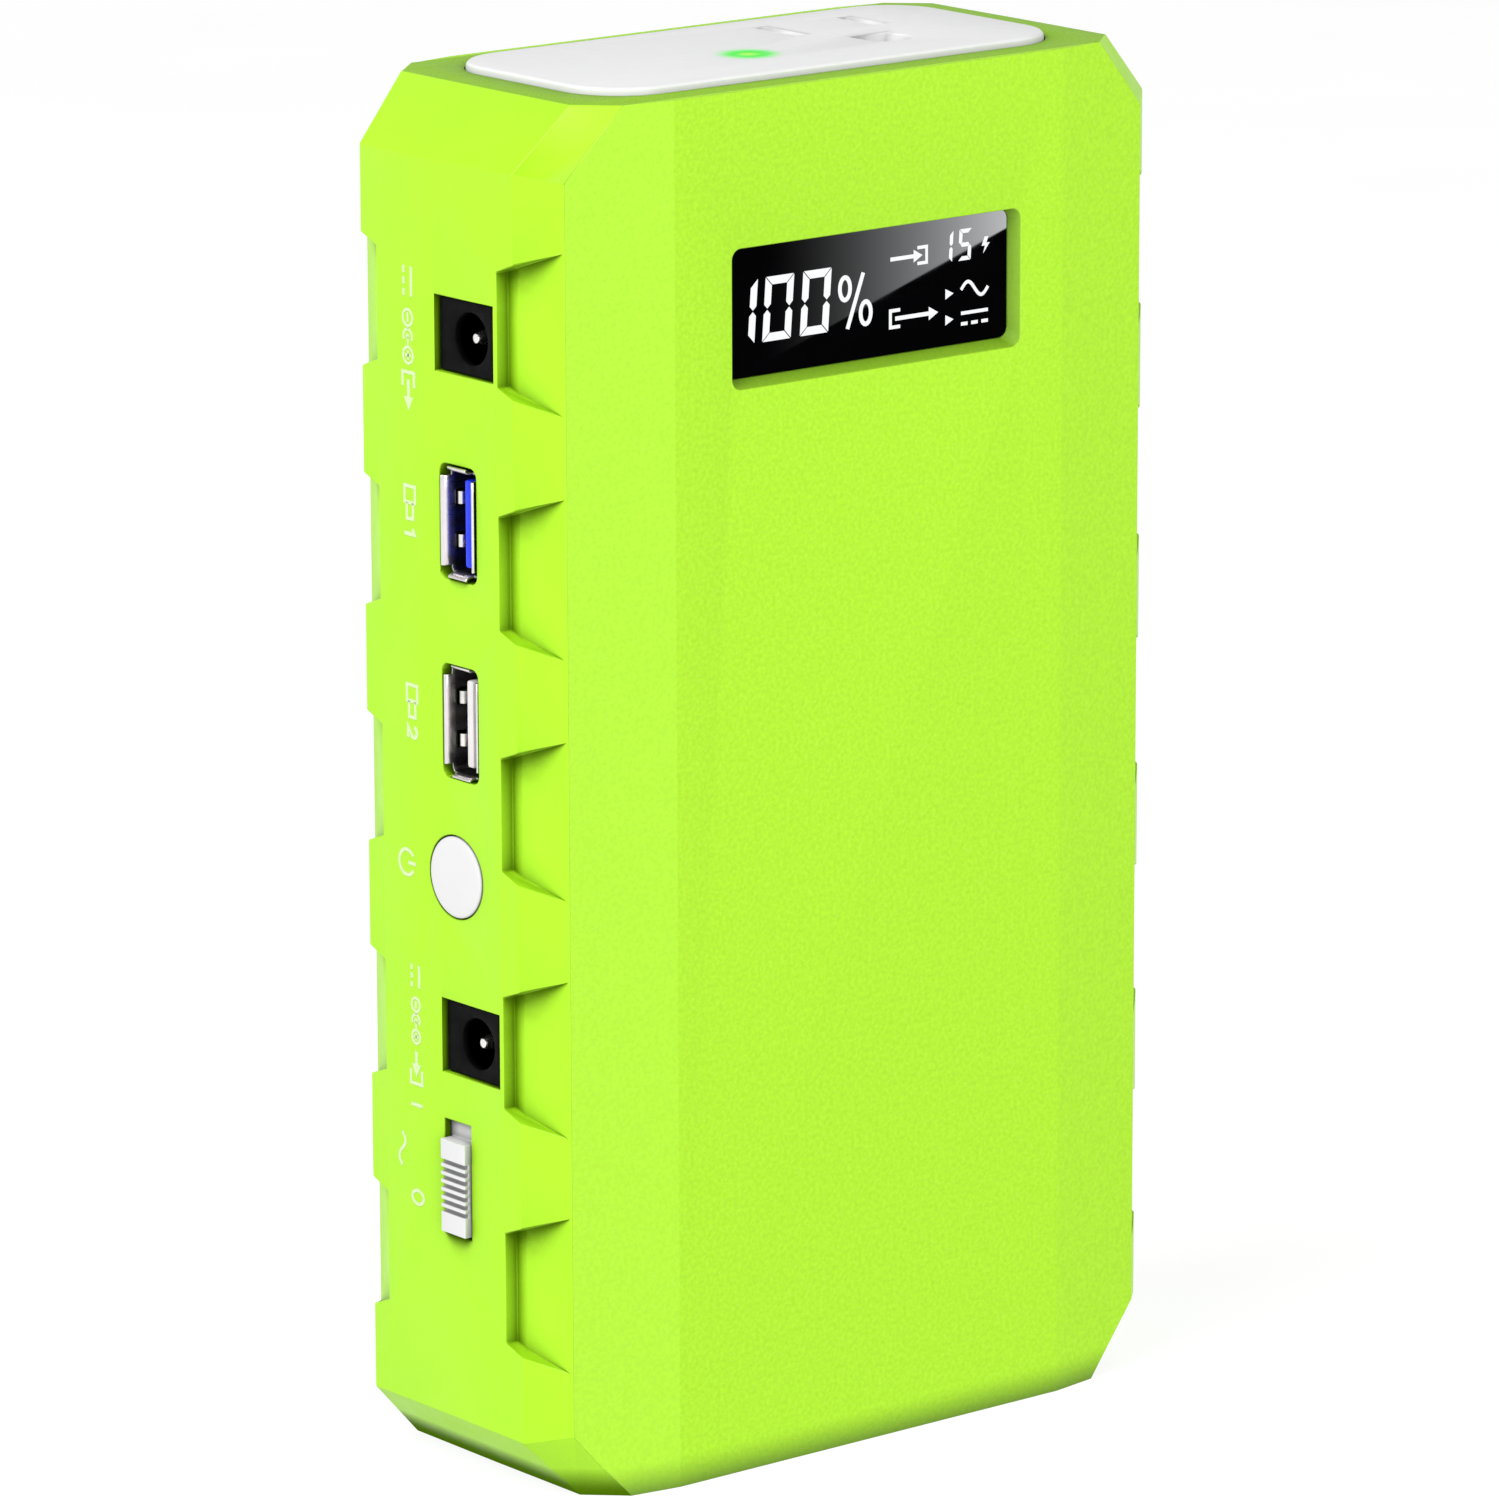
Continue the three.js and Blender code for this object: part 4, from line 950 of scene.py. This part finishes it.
def usb_shell_piece(name, sheet, nickel):
    """A bent sheet box: flared lips at the mouth, slit corners, spring windows in both long walls."""
    low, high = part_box(name + "_shell")
    _, middle_y, middle_z = (low + high) / 2
    width, height = high.y - low.y - 2 * USB_FLARE, high.z - low.z - 2 * USB_FLARE
    mouth = low.x + 0.03 * MM
    stations = usb_perimeter(width, height)
    lip = 0.7 * MM
    depths = [lip * (1 - math.cos(math.radians(a))) for a in (0, 30, 60, 90)]
    flares = [USB_FLARE * (1 - math.sin(math.radians(a))) for a in (0, 30, 60, 90)]
    straight = [1.0 * MM, 1.6 * MM, 4.7 * MM, high.x - mouth - 0.3 * MM]
    mesh = bmesh.new()
    rows = []
    for depth, push in list(zip(depths, flares)) + [(d, 0.0) for d in straight]:
        row = []
        for u, v, out, kind, _ in stations:
            bend = 0.0 if kind == "corner" else push
            y, z = middle_y + u + out.x * bend, middle_z + v + out.y * bend
            row.append(mesh.verts.new((mouth + depth, y, z)))
        rows.append(row)
    slit_rows = len(depths)
    count = len(stations)
    for r in range(len(rows) - 1):
        for i in range(count):
            j = (i + 1) % count
            kinds = {stations[i][3], stations[j][3]}
            at_corner = "corner" in kinds
            spring = (
                kinds == {"long"} and r == slit_rows + 1
                and {abs(stations[i][4]), abs(stations[j][4])} == {SPRING_FROM, SPRING_TO}
                and stations[i][4] * stations[j][4] > 0
            )
            edge_bit = kinds in ({"long"}, {"short"}) and 1 in (abs(stations[i][4]), abs(stations[j][4]))
            if spring or (r < slit_rows and (at_corner or edge_bit)):
                continue
            mesh.faces.new((rows[r][i], rows[r][j], rows[r + 1][j], rows[r + 1][i]))
    mesh.faces.new(rows[-1])
    bmesh.ops.recalc_face_normals(mesh, faces=mesh.faces)
    loose = [vert for vert in mesh.verts if not vert.link_faces]
    bmesh.ops.delete(mesh, geom=loose, context="VERTS")
    shell = new_piece(mesh, name + "_shell_sheet", sheet, CASING, [name + "_shell"], 50)
    modify(shell, "SOLIDIFY", thickness=USB_SHEET, offset=-1)
    modify(
        shell, "BEVEL", limit_method="ANGLE", angle_limit=math.radians(50), width=0.05 * MM,
        segments=2, use_clamp_overlap=False,
    )
    springs = bmesh.new()
    for side in (-1, 1):
        for end in (-1, 1):
            usb_spring(springs, mouth, middle_y, middle_z, side, end, width, height)
    new_piece(springs, name + "_springs", nickel, CASING, smooth_angle=40)


def usb_spring(mesh, mouth, middle_y, middle_z, side, end, width, height):
    """One finger, cut from a long wall and bowed into the mouth."""
    reach = height / 2 - USB_CORNER
    half = reach * 0.13
    centre = middle_z + end * reach * (SPRING_FROM + SPRING_TO) / 2
    wall = width / 2 - USB_SHEET / 2
    profile = [(4.65, 0.0), (3.8, 0.36), (3.0, 0.66), (2.4, 0.72), (1.95, 0.55), (1.75, 0.25)]
    rows = []
    for depth, inward in profile:
        y = middle_y + side * (wall - inward * MM)
        row = []
        for lift in (0, USB_SHEET * 0.7):
            for z in (centre - half, centre + half):
                row.append(mesh.verts.new((mouth + depth * MM, y - side * lift, z)))
        rows.append(row)
    for a, b in zip(rows, rows[1:]):
        for i, j in ((0, 1), (1, 3), (3, 2), (2, 0)):
            mesh.faces.new((a[i], a[j], b[j], b[i]))
    mesh.faces.new([rows[0][i] for i in (0, 1, 3, 2)])
    mesh.faces.new([rows[-1][i] for i in (0, 2, 3, 1)])


def usb_tongue_piece(name, plastic, brass):
    """The plastic blade with a rounded nose, and four contacts on its inner face."""
    low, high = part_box(name + "_tongue")
    middle_z = (low.z + high.z) / 2
    offset = 1.0 * MM
    blade_y = middle_of(name + "_shell").y - offset
    thick, tall = 1.2 * MM, 10.5 * MM
    root_at = high.x - 3 * MM
    nose = 0.22 * MM

    def blade(inset):
        return rounded_rectangle(thick - 2 * inset, tall - 2 * inset, 0.3 * MM)

    root = [(u + offset, v) for u, v in rounded_rectangle(4.7 * MM, 11.8 * MM, 0.2 * MM)]
    mesh = loft([
        (blade(nose), low.x), (blade(nose * 0.3), low.x + nose * 0.3), (blade(0), low.x + nose),
        (blade(0), root_at), (root, root_at), (root, high.x),
    ], along_x(blade_y, middle_z))
    new_piece(mesh, name + "_blade", plastic, CASING, [name + "_tongue"], 40)

    contacts = bmesh.new()
    pitch = 2.3 * MM
    contact_width = 1.0 * MM
    proud = 0.08 * MM
    for i in range(4):
        z = middle_z + (i - 1.5) * pitch
        outline = rounded_rectangle(2 * proud, contact_width, 0.06 * MM, 16)
        loops = [(outline, low.x + 1.2 * MM), (outline, root_at + 0.2 * MM)]
        loft(loops, along_x(blade_y + thick / 2, z), mesh=contacts)
    new_piece(contacts, name + "_contacts", brass, CASING, smooth_angle=40)


def finish_button(white):
    low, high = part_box("power_button")
    middle = middle_of("power_button")
    radius = 4.95 * MM
    stem = 2 * MM
    flange = (high.y - low.y) / 2
    dish = [(1.2, 0.0), (2.6, 0.01), (3.7, 0.03), (4.4, 0.07), (4.7, 0.12), (4.85, 0.18),
            (4.92, 0.26), (4.95, 0.36)]
    front, back = low.x + 2.7 * MM, low.x + 3.7 * MM
    profile = [(r * MM, low.x + depth * MM) for r, depth in dish]
    profile += [(radius, front), (flange, front), (flange, back), (stem, back), (stem, high.x)]
    mesh = turned(profile, along_x(middle.y, middle.z), 96)
    new_piece(mesh, "power_button_cap", white, BUTTON, ["power_button"], 40)


def side_place(line_y, top_z):
    """Puts marks on the socket side, read downwards, with their tops towards the front."""
    low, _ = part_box("side_frame")
    # the wall falls away on both sides of its middle line
    fall = 0.3 / 14.6
    sink = 0.015 * MM

    def place(u, v, toward=0):
        y = line_y - v
        return Vector((low.x + abs(y) * fall + sink - toward * MM, y, top_z - u))

    return place


def polarity(size, line):
    """The centre-positive sign of a coaxial socket: minus ring, cup and dot, plus ring."""
    radius = size / 2
    inner = radius - line / 2
    reach = size * 0.98
    middle = radius + reach
    end = middle + reach
    shapes = ring(radius, 0, inner, inner, line)
    shapes += stroke([(radius * 0.5, 0), (radius * 1.5, 0)], line)
    shapes += stroke([(2 * radius, 0), (middle - radius * 0.75, 0)], line)
    shapes += stroke(arc(middle, 0, radius * 0.75, radius * 0.75, 60, 300), line)
    shapes += [tuple(arc(middle, 0, line * 0.9, line * 0.9, 0, 345, 23))]
    shapes += stroke([(middle, 0), (end - radius, 0)], line)
    shapes += ring(end, 0, inner, inner, line)
    shapes += stroke([(end - radius * 0.5, 0), (end + radius * 0.5, 0)], line)
    return shapes + stroke([(end, -radius * 0.5), (end, radius * 0.5)], line)


def plug_outline(length, height, line):
    """A USB-A plug seen from the side: a sleeve in front of a body, drawn as two boxes."""
    body, half, sleeve = length * 0.5, height / 2, height * 0.3
    shapes = stroke([(0, -half), (0, half), (body, half), (body, -half)], line, closed=True)
    return shapes + stroke([(body, sleeve), (length, sleeve), (length, -sleeve), (body, -sleeve)], line)


def numeral(digit, height, line):
    """A plain rounded 1 or 2, its lower left corner at (0, 0)."""
    if digit == 1:
        return stroke([(0, height * 0.72), (height * 0.28, height - line / 2), (height * 0.28, 0)], line)
    radius = height * 0.27
    curve = arc(radius, height - radius - line / 2, radius, radius, 170, -35, 18)
    return stroke(curve + [(0, line / 2), (height * 0.6, line / 2)], line)


def power_sign(radius, line):
    shapes = stroke(arc(0, 0, radius, radius, 125, 415, 32), line)
    return shapes + stroke([(0, radius * 0.2), (0, radius * 1.15)], line)


def finish_side_marks():
    """Printed signs beside the sockets and the switches. Their sizes are in millimetres."""
    ink = printed_white()
    line = 0.46
    height = 2.3
    bars = 1.5
    column = 5.3 * MM
    slot_z = 39.1 * MM

    def mark(name, shapes, top_z, column_y=column):
        flat_mark(name, shapes, side_place(column_y, top_z), 0.03 * MM, ink)

    shapes = direct_current(3.6, bars, line)
    shapes += moved(polarity(height, line * 0.8), 5.0, 0)
    shapes += moved(arrow_out(4.6, height, line), 12.7, 0)
    mark("mark_output_socket", shapes, middle_of("dc_output_jack").z + 7.1 * MM)
    shapes = direct_current(2.8, bars, line)
    shapes += moved(polarity(height * 0.88, line * 0.8), 3.9, 0)
    shapes += moved(arrow_in(4.0, height, line), 10.7, 0)
    mark("mark_input_socket", shapes, middle_of("dc_input_jack").z + 7.4 * MM)
    for number in (1, 2):
        shapes = plug_outline(3.9, height * 0.9, line)
        shapes += moved(numeral(number, height, line * 1.15), 5.1, -height / 2)
        mark(f"mark_usb_{number}", shapes, middle_of(f"usb_{number}_shell").z + 3.0 * MM)
    mark("mark_power", power_sign(1.55, line), middle_of("power_button").z, 6.75 * MM)
    mark("mark_switch_on", stroke([(0, -height / 2), (0, height / 2)], line), slot_z + 6.0 * MM)
    mark("mark_switch_off", ring(0, 0, 0.85, height / 2, line), slot_z - 5.5 * MM)
    mark("mark_mains", wave(4.2, 1.3, line), slot_z + 2.1 * MM, 8.4 * MM)


# ---- Right side: jump lead socket cover and torch ----

def finish_flap(dark):
    """Raised frame, plus and minus signs and grip ribs on the rubber cover."""
    low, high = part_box("jump_port_cover")
    hinge_y = 7.4 * MM
    middle_y, middle_z = (low.y + hinge_y) / 2, (low.z + high.z) / 2
    sunk = high.x - 0.02 * MM
    raised = 0.22 * MM

    def place(u, v, toward=0):
        return Vector((sunk + toward * MM, middle_y + u, middle_z + v))

    plus = [((-1.7, 5.2), (1.7, 5.2)), ((0, 6.9), (0, 5.6)), ((0, 4.8), (0, 3.5))]
    minus = ((-1.7, -5.2), (1.7, -5.2))
    shapes = stroke(rounded_rectangle(10.6, 20.6, 1.6, 32), 0.7, closed=True)
    for bar in (*plus, minus):
        shapes += stroke(bar, 0.8)
    flat_mark("flap_emboss", shapes, place, raised, dark, FLAP)
    ribs = []
    for i in range(5):
        v = (i - 2) * 1.3
        ribs += stroke([(-7.3, v), (-6.2, v)], 0.5)
    flat_mark("flap_grip_ribs", ribs, place, raised, dark, FLAP)


def finish_torch(lens_material, bright):
    """A domed lens and, behind it, a hollow reflector with a curved bowl."""
    sides = 96
    low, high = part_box("torch_lens")
    place = along_x(0, (low.z + high.z) / 2)
    radius = (high.y - low.y) / 2
    shoulder = radius - 0.25 * MM
    crown = 0.36 * MM
    profile = [(radius, low.x), (radius, high.x - 0.55 * MM), (radius - 0.08 * MM, high.x - 0.42 * MM)]
    steps = 10
    for i in range(steps):
        part = i / steps
        profile.append((shoulder * (1 - part), high.x - crown + crown * (1 - (1 - part) ** 2)))
    mesh = turned(profile, place, sides)
    new_piece(mesh, "torch_lens_dome", lens_material, CASING, ["torch_lens"], 40)

    low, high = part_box("torch_reflector")
    rim = (high.y - low.y) / 2
    throat, bowl_rim = 2.1 * MM, 5.2 * MM
    back = low.x + 0.8 * MM
    profile = [(rim, high.x), (rim, high.x - 1.2 * MM), (bowl_rim + 0.2 * MM, high.x - 1.7 * MM),
               (throat + 0.8 * MM, low.x), (throat, low.x)]
    steps = 11
    for i in range(steps + 1):
        part = i / steps
        profile.append((throat + (bowl_rim - throat) * math.sqrt(part), back + part * (high.x - back)))
    mesh = turned(profile, place, sides, closed=True)
    new_piece(mesh, "torch_reflector_bowl", bright, CASING, ["torch_reflector"], 35)


# ---- Everything else that the frame shows ----

def finish_other_nodes(materials):
    for names, material, rounding in (
        (("outlet_insulator", "display_module", "power_button_switch", "battery_tray",
          "inverter_transformer", "filter_capacitor_1", "filter_capacitor_2"), "black_plastic", 0.2),
        (("jump_lead_negative",), "rubber", 0),
        (("outlet_contact_line", "outlet_contact_neutral", "outlet_contact_ground",
          "jump_contact_positive", "jump_contact_negative"), "brass", 0.12),
        (("ac_switch_body", "jump_cover_pin", "cover_screw_1", "cover_screw_2", "cover_screw_3",
          "cover_screw_4"), "steel", 0.12),
        (("heat_sink",), "aluminium", 0.15),
        (("display_board", "port_board", "battery_board", "inverter_board"), "circuit_board", 0.1),
        (("battery_cell_1", "battery_cell_2", "battery_cell_3", "battery_cell_4"), "pouch_foil", 0.2),
        (("foam_pad_front", "foam_pad_rear"), "foam", 0.3),
        (("jump_socket_housing",), "blue_plastic", 0.25),
        (("jump_port_cover",), "rubber", 0.28),
        (("jump_lead_positive",), "red_sleeve", 0),
        (("torch_led",), "phosphor", 0.1),
        (("ac_switch_slider",), "white_plastic", 0.13),
    ):
        paint(materials[material], *names)
        for name in names:
            soften(name, max(rounding, 0.02) * MM)


def plane(name, corners, material):
    mesh = bmesh.new()
    mesh.faces.new([mesh.verts.new(corner) for corner in corners])
    return mesh_object(name, mesh, material)


def make_floor():
    """A pale floor that is partly lit from below, so that shadows on it stay faint."""
    s = Shader("pale_floor")
    tone = s.mix(s.noise(0.08, 3), (0.93, 0.93, 0.93), (0.96, 0.96, 0.96))
    s.set(
        Base_Color=s.mix(0.80, tone, (0, 0, 0)), Roughness=0.9, Specular_IOR_Level=0.0,
        Emission_Color=tone, Emission_Strength=0.92,
    )
    reach = 3.0
    corners = [(-reach, -reach, 0), (reach, -reach, 0), (reach, reach, 0), (-reach, reach, 0)]
    floor = plane("floor", corners, s.material)


WEDGE_START = -16.2 * MM
WEDGE_END = 22.6 * MM
WEDGE_BASE = 135.96 * MM
WEDGE_BASE_X = -12.93 * MM
WEDGE_RISE = 0.316
WEDGE_LIGHT = 11.0


def make_glass_card(camera_place):
    """A dark card with a lit wedge, hung where the display's glass mirrors it to the camera.

    The card is drawn in the glass's own x and z, then enlarged and moved to where it is mirrored.
    """
    s = Shader("mirror_card")
    across, height = s.axis(s.place, "X"), s.axis(s.place, "Z")
    ramp = s.spread(across, 0, 1, WEDGE_START, WEDGE_END)
    rise = s.times(s.math("SUBTRACT", across, WEDGE_BASE_X), WEDGE_RISE)
    line = s.math("ADD", rise, WEDGE_BASE)
    above = s.spread(s.math("SUBTRACT", height, line), 0, 1, -0.1 * MM, 0.1 * MM)
    cloud = s.spread(s.noise(30 * MM), 0.97, 1.03)
    light = s.times(s.math("POWER", ramp, 2.3), s.times(above, cloud))
    s.set(
        Base_Color=(0, 0, 0), Roughness=1.0, Specular_IOR_Level=0.0,
        Emission_Color=(0.97, 0.985, 1.0), Emission_Strength=s.times(light, WEDGE_LIGHT),
    )
    low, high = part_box("display_glass")
    margin = 30 * MM
    left, right, bottom, top = low.x - margin, high.x + margin, low.z - margin, high.z + margin
    corners = [(left, 0, bottom), (right, 0, bottom), (right, 0, top), (left, 0, top)]
    card = plane("mirror_card", corners, s.material)
    away = 0.25
    part = away / (low.y - camera_place.y)
    card.scale = (1 + part,) * 3
    card.location = (-part * camera_place.x, low.y - away, -part * camera_place.z)
    card.visible_camera = False
    card.visible_diffuse = False
    card.visible_shadow = False
    card.visible_transmission = False


camera_place = make_camera()
make_room()
make_floor()
make_glass_card(camera_place)

lamp = (*middle_of("status_light_lens").xy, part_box("outlet_panel")[1].z)

jack_black = jack_plastic(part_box("dc_input_jack")[0].x)
nickel = metal("nickel", (0.88, 0.86, 0.83), 0.16, (1, 1, 0.08))
brass = metal("brass", (0.80, 0.58, 0.24), 0.26, (1, 1, 0.1))
white = white_plastic("white_plastic", 0.62)
dark_rubber = rubber()
blue = hard_plastic("blue_plastic", (0.008, 0.03, 0.72), (0.02, 0.07, 0.95), 0.35)
ivory = hard_plastic("ivory_plastic", (0.62, 0.60, 0.60), (0.78, 0.76, 0.75), 0.4)

finish_casing()
finish_outlet(lamp)
finish_display()
for socket in ("dc_output", "dc_input"):
    finish_jack(socket, jack_black, nickel)
sheet = socket_sheet(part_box("usb_1_shell")[0].x)
for number, plastic, slot_name in ((1, blue, "blue_plastic"), (2, ivory, "white_plastic")):
    usb_shell_piece(f"usb_{number}", sheet, nickel)
    usb_tongue_piece(f"usb_{number}", plastic, brass)
finish_button(white)
finish_side_marks()
finish_flap(dark_rubber)
finish_torch(clear_lens(), nickel)
finish_other_nodes({
    "black_plastic": hard_plastic("black_plastic", (0.012, 0.013, 0.015), (0.05, 0.052, 0.055)),
    "rubber": dark_rubber,
    "brass": brass,
    "steel": metal("steel", (0.55, 0.55, 0.56), 0.3, (1, 0.1, 1)),
    "aluminium": metal("aluminium", (0.72, 0.73, 0.74), 0.34, (0.1, 1, 1)),
    "circuit_board": circuit_board(),
    "pouch_foil": pouch_foil(),
    "foam": foam(),
    "blue_plastic": blue,
    "red_sleeve": hard_plastic("red_sleeve", (0.42, 0.012, 0.01), (0.62, 0.04, 0.03), 0.5),
    "phosphor": phosphor(),
    "white_plastic": white,
})
